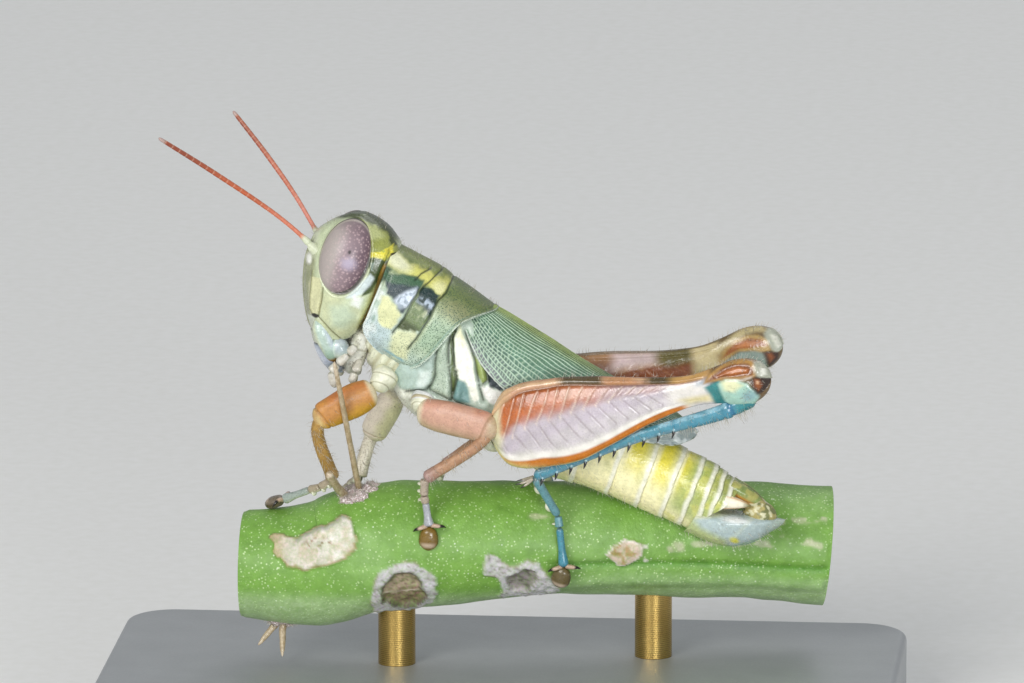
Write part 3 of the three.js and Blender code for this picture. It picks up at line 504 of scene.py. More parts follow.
relief = relief + (0.06 * stripe(to_front - 0.06, 0.05, 0.12) - 0.03 * stripe(to_front - 0.3, 0.04,
        0.12)) * (0.3 + 0.7 * ramp(-Z, 0.7, 1.2))
pronotum = pronotum + outward(pronotum) * relief[..., None]

x, z = X + wander, Z + wander
paint = coat_of(pronotum, "aebd9c")
dab(paint, ramp(Z, -1.5, -0.2), "6d7b49")
dab(paint, ramp(2.55 - X, 0, 0.15) * ramp(-Z, 0.9, 2.6), "b9cbc0")
dab(paint, ramp(-Z, 2.4, 3.5), "b2c6bc", 0.8)
dab(paint, ramp(-Z, 2.2, 3.0) * ramp(2.0 - X, 0, 0.8), "b7c9cf", 0.8)
dab(paint, stripe(to_front - 0.3 - 0.3 * wander, 0.06, 0.14) * ramp(-Z, 1.0, 1.6) * ramp(3.4 + Z, 0, 0.5),
    "7fa38a", 0.5)
dab(paint, patch(x, z, [(0.1, -1.5), (0.45, -1.5), (0.62, -2.2), (0.7, -2.8), (1.0, -3.3), (0.8, -3.7),
            (0.4, -3.2), (0.2, -2.4)], 0.25),
    "e9efee", 0.7 * ramp(grain(pronotum, 0.3, 92), 0.25, 0.6))
dab(paint, patch(x, z, [(-0.2, -0.66), (0.22, -0.7), (0.22, -1.1), (0.1, -1.4), (-0.2, -1.0)], 0.12),
    "2f4a37", 0.9)
dab(paint, stripe(to_front - 0.04, 0.04, 0.06) * ramp(-Z, 1.2, 1.8), "e4ebe6", 0.8)
dab(paint, patch(x, z, [(0.36, -1.8), (0.6, -1.7), (1.08, -1.8), (1.45, -1.98), (1.53, -2.34), (1.46, -2.7),
            (1.1, -2.8), (0.75, -2.6), (0.5, -2.2)], 0.16), "d6d8a6")
dab(paint, patch(x, z, [(1.68, -2.5), (2.3, -2.25), (2.44, -2.3), (2.42, -3.0), (2.6, -3.45), (2.15, -3.75),
            (1.8, -3.55), (1.55, -2.95)], 0.3), "d5d9ae", 0.95)
dab(paint, ramp(Z + 0.05 * X, -0.12, 0.12) * ramp(2.5 - X, 0, 0.1), "7b863f")
yellow = patch(X, z, [(-0.3, -0.12), (0.6, -0.14), (1.2, -0.06), (1.8, 0.0), (2.42, 0.04), (2.44, -0.55),
        (1.8, -0.46), (1.25, -0.47), (0.7, -0.54), (0.0, -0.62), (-0.3, -0.66)], 0.18)
dab(paint, yellow, "d0ce72")
# The pale oval at the stripe's front is partly its own cream colour and partly a painted highlight.
dab(paint, yellow * spot(X, Z, (0.25, -0.35), (0.55, 0.3), 0, 0.6), "e6e8cc", 0.85)
# A painted highlight at the stripe's hind end.
dab(paint, yellow * spot(X, Z, (2.2, -0.35), (0.3, 0.25), 0, 0.6), "e3e2b0", 0.7)
patch_one = patch(x, z, [(0.0, -0.85), (0.3, -0.84), (0.73, -0.62), (1.16, -0.44), (1.6, -0.42),
        (1.54, -0.9), (1.57, -1.4), (1.5, -1.9), (1.4, -1.95), (1.05, -1.72), (0.73, -1.62), (0.46, -1.66),
        (0.3, -1.3)], 0.14)
patch_one = patch_one * ramp(1.56 - X, 0, 0.06)
dab(paint, patch_one, "20353c")
dab(paint, patch_one * patch(x, z, [(-0.2, -0.7), (1.7, -0.2), (1.7, -0.6), (1.2, -0.82), (0.7, -1.0),
            (0.2, -1.2)], 0.2), "45694a", 0.85)
# A painted highlight: a bluish-white reflection on the first dark patch, flecked with a darker tone.
painted_highlight_one = patch(x, z, [(0.85, -1.75), (0.96, -1.4), (1.15, -1.07), (1.4, -0.76), (1.5, -1.1),
        (1.5, -1.55), (1.3, -1.8)], 0.2)
dab(paint, patch_one * painted_highlight_one, "d3deee", 0.95)
dab(paint, patch_one * painted_highlight_one * ramp(grain(pronotum, 0.12, 60), 0.45, 0.7), "4b6574", 0.6)
patch_two = patch(x, z, [(1.56, -0.6), (1.93, -0.5), (2.36, -0.56), (2.46, -0.9), (2.47, -1.4),
        (2.47, -2.1), (1.95, -2.4), (1.57, -2.5), (1.62, -1.84)], 0.08) * ramp(X - 1.56, 0, 0.06)
dab(paint, patch_two, "6a7c50")
dab(paint, patch_two * ramp(Z + 0.35 * (X - 1.6) + wander, -1.25, -1.05), "152f2f")
dab(paint, patch_two * spot(x, z, (2.08, -1.06), (0.4, 0.13), 8, 0.6) * ramp(grain(pronotum, 0.12, 96), 0.3,
        0.6), "b9c8dc", 0.9)
dab(paint, patch_two * ramp(-z, 1.95, 2.2), "424d28")
dab(paint, patch_two * stripe(Z + 1.55, 0.3, 0.4) * ramp(grain(pronotum, 0.14, 61), 0.5, 0.75), "a8b08a", 0.7)
dab(paint, stripe(Z + 3.62 + 0.4 * wander, 0.05, 0.08) * ramp(X, 1.5, 1.8) * ramp(2.7 - X, 0, 0.3),
    "6fa9be", 0.7)
dab(paint, ramp(X, 2.5, 2.75) * stripe(Z + 2.0, 0.7, 0.5), "8dab93", 0.6)
dab(paint, spot(X, Z, (3.3, -0.75), (0.7, 0.35), 0, 0.6), "8f8c66", 0.5)
dab(paint, groove_marks, "1f2c1c", 0.9)
dab(paint, stripe(to_hind - 0.02, 0.04, 0.04) + stripe(to_foot, 0.05, 0.05), "ccd9cc", 0.75)
dab(paint, stripe(to_hind - 0.13, 0.03, 0.04) * ramp(-Z, 0.3, 0.9), "6f8f86", 0.6)
body_pronotum = on_trunk(pronotum)
stipple = ramp(X, 2.45, 2.7) * (0.75 + 0.25 * ramp(Z, -2.6, -1.0)) + 0.45 * ramp(-Z, 2.2, 3.0) + 0.2
piece("pronotum_plate", [body_pronotum], cuticle("pronotum_shell", fleck="34523c", fleck_size=0.06),
    ["pronotum"], [paint], [stipple])
hairs("pronotum_hairs", [body_pronotum], [ramp(Z, -0.35, 0.0) + 0.06], 110, (0.14, 0.3), (-0.1, 0, 0.4),
    ["pronotum"], 81, thick=0.007, code="b9b7a4")


# ---- Thorax: the two hind rings of the thorax under the wings, with the small prosternum ahead of them.
# Its side is four upright plates of cuticle joined at dark sutures; the legs hang from their lower ends.

thorax = loft(
    span=(2.5, 9.15),
    top=through([[2.5, -0.9], [4, -0.35], [7, -0.3], [9.15, -0.5]]),
    bottom=through([[2.5, -4.9], [3.6, -5.4], [5.1, -5.48], [5.9, -5.2], [6.5, -4.97], [7.8, -4.86],
            [9.15, -4.8]]),
    half=through([[2.5, 0.86 * 1.62], [3.6, 1.62], [7.5, 1.62], [9.15, 0.95 * 1.62]]),
    widest=lambda x: -2.6 + 0 * x,
    powers=(2.2, 2.6), rows=250, sides=260,
)
X, Y, Z = np.moveaxis(thorax, -1, 0)
wander = 0.12 * (grain(thorax, 0.4, 4) - 0.5)
SUTURES = [
    [(3.3, -2.2), (3.46, -2.54), (3.64, -2.94), (3.9, -3.35), (3.98, -3.8), (3.95, -4.1), (3.62, -4.36),
        (3.3, -4.7)],
    [(3.6, -1.7), (3.69, -1.95), (3.91, -2.37), (4.18, -2.75), (4.56, -3.2), (5.04, -3.86)],
    [(3.6, -1.3), (3.73, -1.76), (3.99, -2.15), (4.36, -2.6), (4.72, -3.0), (4.9, -3.6)],
    [(4.0, -1.2), (4.23, -1.4), (4.71, -1.76), (5.1, -2.14), (5.35, -2.45), (5.65, -2.78), (6.1, -3.2)],
    [(5.0, -1.7), (5.5, -2.02), (5.8, -2.38), (5.72, -2.62)],
    [(3.98, -4.0), (4.4, -4.0), (5.04, -3.86), (5.8, -3.75)],
]
relief = 0.05 * (grain(thorax, 0.8, 5) - 0.5)
seams = 0
for line in SUTURES:
    away = to_line(X + 0.3 * wander, Z, line)
    relief = relief - 0.11 * np.exp(-(away / 0.07) ** 2) + 0.05 * np.exp(-((away - 0.22) / 0.13) ** 2)
    seams = np.maximum(seams, np.exp(-(away / 0.05) ** 2))
thorax = thorax + outward(thorax) * relief[..., None]
paint = coat_of(thorax, "b4c3b6")
x, z = X + 0.6 * wander, Z + 0.6 * wander
wedge = [(3.65, -1.2), (3.8, -1.32), (4.1, -1.45), (4.56, -1.71), (4.95, -2.09), (5.28, -2.47),
    (5.5, -2.75), (5.96, -3.19),
    (5.81, -3.41), (5.5, -3.2), (5.07, -2.86), (4.83, -2.95), (4.39, -2.55), (4.01, -2.05), (3.73, -1.6)]
PLATES = [  # outline, edge softness, colour, strength
    ([(2.4, -5.6), (9.2, -5.6), (9.2, -4.2), (5.2, -4.1), (3.4, -4.5), (2.4, -4.4)], 0.4, "dedfd2", 0.95),
    ([(2.4, -2.8), (3.4, -2.5), (3.9, -3.6), (3.95, -4.2), (3.0, -4.7), (2.4, -4.4)], 0.2, "adc1b8", 1),
    ([(3.3, -3.6), (3.7, -3.3), (3.85, -3.9), (3.6, -4.2)], 0.3, "dfe9e4", 0.7),
    ([(3.3, -2.2), (3.65, -1.9), (4.9, -3.7), (4.7, -4.0), (4.05, -4.0)], 0.1, "b0c0ae", 1),
    ([(3.55, -1.4), (3.7, -1.4), (4.0, -2.1), (4.8, -2.96), (5.0, -3.9), (4.6, -3.2), (3.7, -1.95)], 0.06,
        "5c6c3c", 1),
    (wedge, 0.07, "f5f6ea", 1),
    ([(3.65, -1.2), (4.1, -1.45), (4.3, -1.75), (3.9, -1.75)], 0.2, "e2dfa0", 0.6),
    ([(4.75, -3.0), (5.05, -2.9), (5.4, -3.22), (5.72, -3.52), (5.3, -3.8), (5.0, -3.8)], 0.12, "6d9290", 1),
    ([(4.3, -1.4), (5.0, -1.6), (5.7, -1.9), (6.6, -2.3), (5.5, -2.05), (4.7, -1.7)], 0.1, "9a9fae", 0.8),
    ([(4.65, -1.78), (5.07, -1.89), (5.5, -2.05), (5.78, -2.36), (5.69, -2.6), (5.34, -2.41),
            (4.98, -2.03)], 0.06, "93a45c", 1),
    ([(5.5, -2.0), (5.93, -2.1), (6.6, -2.3), (6.4, -2.5), (6.0, -2.52), (5.78, -2.36)], 0.08, "1f2b34", 1),
    ([(5.75, -2.75), (5.87, -2.58), (6.5, -2.5), (6.8, -2.7), (6.5, -3.1), (5.97, -2.98)], 0.07, "f3f2ee", 1),
]
for outline, soft, code, strength in PLATES:
    dab(paint, patch(x, z, outline, soft), code, strength)
dab(paint, seams, "26301c", 0.92)
mottled = patch(X, Z, [(3.2, -2.0), (3.7, -1.9), (4.9, -3.7), (4.7, -4.1), (3.95, -4.1)], 0.2) * 0.6 + 0.12
piece("thorax_plates", [on_trunk(thorax)], cuticle("thorax_shell", fleck="5d7560", fleck_size=0.07,
        mottle=0.25), ["thorax"],
    [paint], [mottled])

prosternum = loft(
    span=(0.95, 3.6),
    top=lambda x: -3.2 + 0 * x,
    bottom=through([[0.95, -4.1], [1.6, -4.85], [2.6, -5.1], [3.4, -5.2]]),
    half=through([[0.95, 0.7], [1.8, 1.05], [3.4, 1.2]]),
    widest=lambda x: -3.9 + 0 * x,
    rows=70, sides=80,
)
folds = 0.05 * np.sin(prosternum[..., 0] * 14 + 3 * grain(prosternum, 0.6, 6))
prosternum = prosternum + outward(prosternum) * folds[..., None]
paint = coat_of(prosternum, "d8dac2")
# Painted shade: the sunken parts of the folds are darkened.
dab(paint, ramp(-folds, 0.01, 0.05), "a39d78", 0.6)
soft_cuticle = cuticle("soft_cuticle", gloss=0.42, mottle=0.3, coat=0.15)
piece("prosternum_skin", [on_trunk(prosternum)], soft_cuticle, ["prosternum"],
    [paint], [0 * folds])
low_thorax = ramp(-Z, 4.3, 4.9)
hairs("sternum_hairs", [on_trunk(thorax), on_trunk(prosternum)], [low_thorax * ramp(-X, -6, -5),
        ramp(-prosternum[..., 2], 3.9, 4.3)],
    420, (0.15, 0.36), (0, 0, -0.6), ["thorax"], 82, thick=0.008)


# ---- Tegmina: the two narrow leathery fore wings, closed over the back and round to the flank.
# Each is a thin bent sheet stiffened by long pale veins, with finer cross veins between them.

def tegmen(side):
    """Points of one wing, with the share across it from the middle line, and 1 on its outer face."""
    base, tip, bend, thick = 3.3, 14.05, 2.55, 0.11
    x = np.linspace(base, tip, 360 if side < 0 else 240)[:, None]
    outer, inner = 216, 12  # points across the outer face, and across the hidden inner one
    across = np.concatenate([np.linspace(0, 1, outer), np.linspace(1, 0, inner)])[None, :]
    outside = np.concatenate([np.ones(outer), np.zeros(inner)])[None, :]
    top = through([[base, -0.4], [4.6, 0.0], [9.5, 0.06], [12.5, 0.25], [tip, 0.1]])(x)
    low = through([[base, -0.95], [4.5, -1.65], [5.3, -2.05], [6.5, -2.35], [8, -2.45], [10, -2.1],
            [12.3, -1.3], [13.5, -0.85], [tip, -0.5]])(x)
    spread = through([[base, 1.5], [4.6, 1.76], [6.5, 1.8], [9, 1.78], [11, 1.72], [tip, 1.35]])(x)
    end = np.sqrt(1 - np.clip((x - tip + 0.7) / 0.7, 0, 0.999) ** 2)
    share = 0.5 + (across - 0.5) * end
    crest = top - 0.25
    last = np.arccos(np.clip(1 - (crest - low) / bend, -1, 1))
    turn = last * share
    out = 0.25 - thick * (1 - outside) + 0 * x
    y = 0.02 + (spread - 0.25 - 0.02) * np.sin(turn) + out * np.sin(turn)
    z = crest - bend * (1 - np.cos(turn)) + out * np.cos(turn)
    return np.stack([x + 0 * y, side * y, z], -1), share + 0 * y, outside + 0 * y


def vein_net(x, across, seed):
    """Height of the veins: long ones side by side, and short cross veins between each pair."""
    many = 21
    drift = 0.35 * np.sin(x * 0.9) + 0.22 * np.sin(x * 2.3 + across * 9) + 0.1 * np.sin(x * 6.1 + across * 31)
    bow = across * many + drift
    row = np.floor(bow).astype(int)
    from_long = np.minimum(bow - row, row + 1 - bow) / many * 3.3
    random = np.random.default_rng(seed)
    width = random.uniform(0.012, 0.024, many + 8)[np.clip(np.round(bow).astype(int), 0, many + 7)]
    long_veins = np.exp(-(from_long / width) ** 2)
    pitch = random.uniform(0.12, 0.2, many + 8)[np.clip(row, 0, many + 7)]
    step = x / pitch + row * 0.37 + 0.8 * np.sin(x * 3 + row * 2.1) + 0.2 * np.sin(across * 40 + x)
    from_cross = np.abs(step - np.round(step)) * pitch
    return long_veins, np.exp(-(from_cross / 0.025) ** 2) * (1 - long_veins)


wing_grids, wing_paints, wing_flecks = [], [], []
for side in (-1, 1):
    grid, across, outside = tegmen(side)
    X, Y, Z = np.moveaxis(grid, -1, 0)
    long_veins, cross_veins = vein_net(X, across, 7)
    netted = 0.22 + 0.78 * patch(X, across, [(3, 0.45), (5.5, 0.5), (8, 0.72), (9, 1.1), (3, 1.1)], 0.3)
    crinkle = ramp(X + 1.5 * (across - 0.6), 12.4, 13.2)
    creases = grain(grid, 0.16, 8) + 0.6 * grain(grid, 0.45, 9) - 0.8
    relief = outside * (0.03 * long_veins * (1 - 0.7 * crinkle) + 0.018 * netted * cross_veins
        + crinkle * 0.09 * creases)
    relief = relief + outside * 0.03 * (grain(grid, 1.2, 9) - 0.5)
    normal = outward(grid)
    grid = grid + normal * relief[..., None]
    paint = coat_of(grid, "58775a")
    dab(paint, ramp(across, 0.3, 0.7), "587f6a")
    dab(paint, ramp(-across, -0.3, -0.08), "485a2a", 0.9)
    dab(paint, ramp(X, 6, 11) * ramp(across, 0.1, 0.4), "5e8578", 0.8)
    dab(paint, patch(X, across, [(3, 0.55), (6, 0.7), (8.5, 0.9), (8.5, 1.2), (3, 1.2)], 0.25), "475a50", 0.7)
    dab(paint, patch(X, across, [(4.5, 0.9), (9, 0.93), (12, 0.93), (12, 1.1), (4.5, 1.1)], 0.1), "6d6877",
        0.6)
    dab(paint, crinkle, "98a2a6", 0.9)
    # A painted highlight on the crests of the crinkles near the wing tip.
    dab(paint, crinkle * ramp(creases, 0.0, 0.3), "e2e8ea", 0.85)
    dab(paint, netted * cross_veins * (1 - crinkle), "b5ceb2", 0.75)
    vein_share = long_veins * (0.45 + 0.55 * ramp(across, 0.08, 0.3)) * (1 - 0.6 * crinkle)
    dab(paint, vein_share, "c9e2cc", 0.9)
    dab(paint, long_veins * ramp(-across, -0.36, -0.12) * ramp(11 - X, 0, 4), "b9c968", 0.8)
    dab(paint, stripe(across - 1, 0.012, 0.02), "c5cfc6")
    wing_grids.append(on_trunk(grid))
    wing_paints.append(paint)
    wing_flecks.append(0 * X)
leather = cuticle("wing_leather", gloss=0.38, mottle=0.5, pit=0.006, coat=0.2)
for word, grid, paint, fleck in zip(("left", "right"), wing_grids, wing_paints, wing_flecks):
    piece(f"tegmen_skin_{word}", [grid], leather, [f"tegmen_{word}"], [paint], [fleck])


# ---- Abdomen: eight telescoping rings, each lapping over the next, with a white membrane between.
# The tail end turns up into the pointed subgenital plate, under the supra-anal plate and the cerci.

RING_ENDS = [10.35, 11.87, 13.16, 14.25, 15.1, 15.72, 16.15, 16.6]
abdomen = loft(
    span=(8.9, 16.65),
    top=through([[9.25, -0.75], [11, -0.8], [14, -0.78], [15.4, -0.66], [16.65, -0.8]]),
    bottom=through([[8.9, -4.82], [9.9, -4.72], [10.4, -4.62], [11.9, -4.22], [13.1, -4.02], [14.6, -3.82],
            [16.65, -3.5]]),
    half=through([[9.25, 1.08 * 1.42], [11, 1.03 * 1.42], [13, 0.95 * 1.42], [15, 0.83 * 1.42],
            [16.65, 0.68 * 1.42]]),
    widest=through([[9.25, -2.9], [16.65, -2.0]]),
    hind=through([[-3.6, 15.7], [-2.6, 16.1], [-1.6, 16.6], [-0.7, 16.65]]),
    powers=(2.1, 2.3), rows=360, sides=190,
)
X, Y, Z = np.moveaxis(abdomen, -1, 0)
wander = 0.1 * (grain(abdomen, 0.5, 10) - 0.5)
lean = X + 0.2 * (Z + 1.6) + wander
ring = np.searchsorted(RING_ENDS, lean)
starts = np.array([9.0] + RING_ENDS + [17.2])
since = np.clip((lean - starts[ring]) / (starts[ring + 1] - starts[ring]), 0, 1)
from_edge = starts[ring + 1] - lean
relief = 0.035 * since ** 1.5 - 0.02
relief = relief - 0.035 * np.exp(-((lean - starts[ring]) / 0.08) ** 2) + 0.02 * (grain(abdomen, 0.35, 11)
    - 0.5)
abdomen = abdomen + outward(abdomen) * relief[..., None]
x, z = X + wander, Z + 2 * wander
paint = coat_of(abdomen, "f6efbc")
dab(paint, ramp(z, -2.9, -1.7) * ramp(since, 0.05, 0.25) * ramp(-since, -0.9, -0.6), "e6d94e")
dab(paint, ramp(since, 0.45, 0.75) * ramp(z, -3.4, -2.4) * ramp(grain(abdomen, 0.5, 75), 0.3, 0.6),
    "cfd08c", 0.5)
# The underside is paler cream: partly its own colour, partly painted light lifting the shade beneath.
dab(paint, ramp(-Z, 3.2, 3.8), "f0e6b0", 0.9)
dab(paint, stripe(Z + 3.95 - 0.05 * (X - 12), 0.03, 0.1), "cbb976", 0.5)
dab(paint, ramp(X, 14.1, 14.9) * ramp(Z, -3.4, -2.6), "93a75c", 0.8)
dab(paint, ramp(X, 14.1, 14.9) * ramp(grain(abdomen, 0.3, 76), 0.5, 0.75), "d6d474", 0.6)
dab(paint, ramp(X, 15.0, 16.2) * ramp(Z, -1.9, -1.2), "6d7a45", 0.6)
dab(paint, stripe(from_edge - 0.1, 0.09, 0.16), "f1efe2", 0.8)
dab(paint, stripe(lean - starts[ring], 0.02, 0.04), "c2c092", 0.35)
body_abdomen = on_trunk(abdomen)
ring_shell = cuticle("ring_shell", gloss=0.3, fleck="97914e", mottle=0.18, coat=0.35)
piece("abdomen_rings", [body_abdomen], ring_shell,
    ["abdomen"], [paint], [0.12 + 0 * X])
hairs("abdomen_hairs", [body_abdomen], [ramp(-Z, 3.0, 3.7) + 0.5 * ramp(X, 14.6, 16.0) + 0.04], 420,
    (0.1, 0.24), (0.5, 0, -0.1), ["abdomen"], 83, thick=0.007)


subgenital = loft(
    span=(15.75, 18.9),
    top=through([[15.75, -2.5], [17, -1.9], [18, -1.45], [18.9, -1.05]]),
    bottom=through([[15.75, -3.62], [16.9, -3.45], [17.7, -3.08], [18.3, -2.5], [18.65, -1.9], [18.9, -1.3]]),
    half=through([[15.75, 1.0], [17, 0.98], [18.1, 0.66], [18.9, 0.16]]),
    widest=through([[15.75, -2.75], [17, -2.35], [18.9, -1.17]]),
    rows=110, sides=110,
)
X, Y, Z = np.moveaxis(subgenital, -1, 0)
relief = 0.03 * (grain(subgenital, 0.3, 12) - 0.5)
keel = stripe(Y, 0.08, 0.12) * ramp(-Z, 1.6, 2.6)
subgenital = subgenital + outward(subgenital) * (relief + 0.05 * keel)[..., None]
paint = coat_of(subgenital, "aebfc0")
dab(paint, patch(X, Z, [(15.6, -3.8), (16.6, -3.8), (17.6, -3.3), (17.3, -2.9), (16.2, -3.0), (15.6, -2.8)],
        0.4), "b9c58a")
dab(paint, spot(X, Z, (17.6, -2.75), (0.2, 0.14), 0, 0.5), "d8d23c", 0.9)
# A painted highlight: a white streak of reflected light on the plate.
dab(paint, spot(X, Z, (17.2, -2.0), (0.5, 0.1), 25, 0.6), "f2f5f4", 0.85)
dab(paint, stripe(X - 17.55 - 0.2 * (Z + 2.4), 0.02, 0.3), "d0d6b4", 0.45)
dab(paint, ramp(Z - 0.75 * (X - 17.4), -1.7, -1.5), "d5d3a0", 0.6)
dab(paint, ramp(X, 18.2, 18.8), "8d9c86", 0.7)
piece("subgenital_cone", [on_trunk(subgenital)], cuticle("genital_shell", gloss=0.24, mottle=0.2, coat=0.5),
    ["subgenital_plate"], [paint], [0.1 + 0 * X])
hairs("subgenital_hairs", [on_trunk(subgenital)], [ramp(-Z - 0.75 * (18.9 - X), -0.6, 1.0) + 0.1], 220,
    (0.15, 0.36), (0.6, 0, -0.3), ["subgenital_plate"], 84, thick=0.008)

supra_anal = loft(
    span=(16.3, 17.9),
    top=through([[16.3, -0.72], [17.1, -0.7], [17.9, -0.85]]),
    bottom=through([[16.3, -1.4], [17.1, -1.35], [17.9, -1.2]]),
    half=through([[16.3, 0.6], [17.1, 0.48], [17.9, 0.18]]),
    widest=lambda x: -1.05 + 0 * x,
    rows=60, sides=70,
)
X, Y, Z = np.moveaxis(supra_anal, -1, 0)
trough = stripe(Y, 0.1, 0.12) * ramp(Z, -1.05, -0.85)
supra_anal = supra_anal - outward(supra_anal) * (0.07 * trough)[..., None]
paint = coat_of(supra_anal, "7f8f4e")
dab(paint, ramp(grain(supra_anal, 0.2, 95), 0.5, 0.7), "b5ad62", 0.7)
dab(paint, trough, "3f4f2c", 0.85)
dab(paint, ramp(-Z, 1.05, 1.2), "c9843c", 0.8)
dab(paint, ramp(X, 17.5, 17.9), "a8975c")
piece("supra_anal_roof", [on_trunk(supra_anal)], ring_shell, ["supra_anal_plate"],
    [paint], [0 * X])


def along_line(points, shares):
    """Places and directions on a smooth line through points, at shares of its length."""
    points = np.array(points, float)
    if len(points) == 2:
        dense = points[0] + np.linspace(0, 1, 90)[:, None] * (points[1] - points[0])
    else:
        knots = np.vstack([2 * points[0] - points[1], points, 2 * points[-1] - points[-2]])
        dense = []
        for p, q, r, s in zip(knots, knots[1:], knots[2:], knots[3:]):
            before, here, after = (np.linalg.norm(b - a) ** 0.5 for a, b in ((p, q), (q, r), (r, s)))
            leave = ((q - p) / before - (r - p) / (before + here) + (r - q) / here) * here
            arrive = ((r - q) / here - (s - q) / (here + after) + (s - r) / after) * here
            u = np.linspace(0, 1, 60, endpoint=False)[:, None]
            dense.append((2 * u**3 - 3 * u**2 + 1) * q + (u**3 - 2 * u**2 + u) * leave
                + (3 * u**2 - 2 * u**3) * r + (u**3 - u**2) * arrive)
        dense = np.vstack([*dense, points[-1:]])
    run = np.concatenate([[0], np.cumsum(np.linalg.norm(np.diff(dense, axis=0), axis=1))])
    run /= run[-1]
    shares = np.asarray(shares, float)
    place = np.stack([np.interp(shares, run, column) for column in dense.T], -1)
    slopes = np.gradient(dense, run, axis=0)
    ahead = np.stack([np.interp(shares, run, column) for column in slopes.T], -1)
    return place, ahead / np.linalg.norm(ahead, axis=-1, keepdims=True)


def unit(way):
    """A direction with length 1."""
    return np.array(way, float) / np.linalg.norm(way)


class Limb:
    """A limb's skin: its points, the share along it, the angle round it, and the way each point faces."""

    def __init__(self, line, size, up=(0, 0, 1), ends=(0.1, 0.1), power=2.2, rows=90, sides=48):
        shares = eased(rows)
        centre, ahead = along_line(line, shares)
        across = np.cross(up, ahead)
        across /= np.linalg.norm(across, axis=-1, keepdims=True)
        lift = np.cross(ahead, across)
        near = np.minimum(shares / max(ends[0], 1e-6), (1 - shares) / max(ends[1], 1e-6))
        swollen = np.maximum(0.04, np.sqrt(1 - (1 - np.clip(near, 0, 1)) ** 2))
        if ends[0] == 0:
            swollen[0] = 1
        if ends[1] == 0:
            swollen[-1] = 1
        size = np.array(size, float)
        high, wide = (through(size[:, [0, k]])(shares) * swollen for k in (1, 2))
        angle = np.linspace(0, TAU, sides, endpoint=False)
        over, up_it = squared(np.cos(angle), power), squared(np.sin(angle), power)
        self.points = (centre[:, None] + across[:, None] * (wide[:, None] * over)[..., None]
            + lift[:, None] * (high[:, None] * up_it)[..., None])
        self.along = shares[:, None] + 0 * angle
        self.angle = angle[None, :] + 0 * self.along
        self.level = up_it[None, :] + 0 * self.along
        self.over = over[None, :] + 0 * self.along
        self.paint = self.fleck = None

    def swell(self, relief):
        self.points = self.points + outward(self.points) * np.asarray(relief)[..., None]
        return self

    def coat(self, code):
        self.paint = coat_of(self.points, code)
        self.fleck = 0 * self.along
        return self

    def dab(self, mask, code, strength=1.0):
        dab(self.paint, mask, code, strength)
        return self


def limb_piece(name, limbs, material, nodes):
    """A piece made of one or more painted limbs."""
    piece(name, [limb.points for limb in limbs], material, nodes,
        [limb.paint for limb in limbs], [limb.fleck for limb in limbs])


def ball(at, half, turn=(0, 0, 0), rows=70, sides=80, power=2.0):
    """An ellipsoid as a grid of points from foot to top, turned by degrees about x, then y."""
    rise = np.linspace(-math.pi / 2 + 0.01, math.pi / 2 - 0.01, rows)[:, None]
    angle = np.linspace(0, TAU, sides, endpoint=False)[None, :]
    x = half[0] * squared(np.cos(rise), power) * squared(np.cos(angle), power)
    y = half[1] * squared(np.cos(rise), power) * squared(np.sin(angle), power)
    z = half[2] * squared(np.sin(rise), power) + 0 * angle
    a, b = (math.radians(t) for t in turn[:2])
    x, z = x * math.cos(b) + z * math.sin(b), z * math.cos(b) - x * math.sin(b)
    y, z = y * math.cos(a) - z * math.sin(a), y * math.sin(a) + z * math.cos(a)
    return np.stack([x, y, z], -1) + np.array(at)


def trunk_point(x, y, z):
    return on_trunk(np.array((x, y, z), float))


for word, side in (("left", -1), ("right", 1)):
    cercus = Limb([trunk_point(16.35, side * 0.72, -1.62), trunk_point(17.4, side * 0.62, -1.2)],
        [[0, 0.34, 0.22], [0.5, 0.22, 0.2], [1, 0.05, 0.07]], ends=(0.1, 0.1), rows=40, sides=28)
    cercus.coat("efe9d2").dab(ramp(cercus.along, 0.6, 0.95),
        "7f7a48").dab(stripe(np.abs(cercus.level) - 0.85, 0.1, 0.25), "cf8f42", 0.8)
    cercus.swell(0.02 * (grain(cercus.points, 0.2, 13) - 0.5))
    limb_piece(f"cercus_skin_{word}", [cercus], soft_cuticle, [f"cercus_{word}"])

pallium = ball(trunk_point(17.85, 0, -1.35), (0.75, 0.5, 0.5), (0, 32, 0))
pallium = pallium + outward(pallium) * (0.07 * (grain(pallium, 0.25, 14) - 0.5))[..., None]
paint = coat_of(pallium, "a89c62")
dab(paint, ramp(grain(pallium, 0.2, 15), 0.45, 0.6), "5d6a42", 0.75)
dab(paint, ramp(grain(pallium, 0.12, 98), 0.6, 0.7), "dcd8b4", 0.8)
piece("pallium_skin", [pallium], soft_cuticle, ["pallium"], [paint], [0 * pallium[..., 0]])


# ---- Head: a capsule of cuticle as deep as it is long, with a rounded crown and a nearly upright face.
# Ridges run down the face, a furrow runs from eye to jaw, and the back edge fits the pronotum's collar.

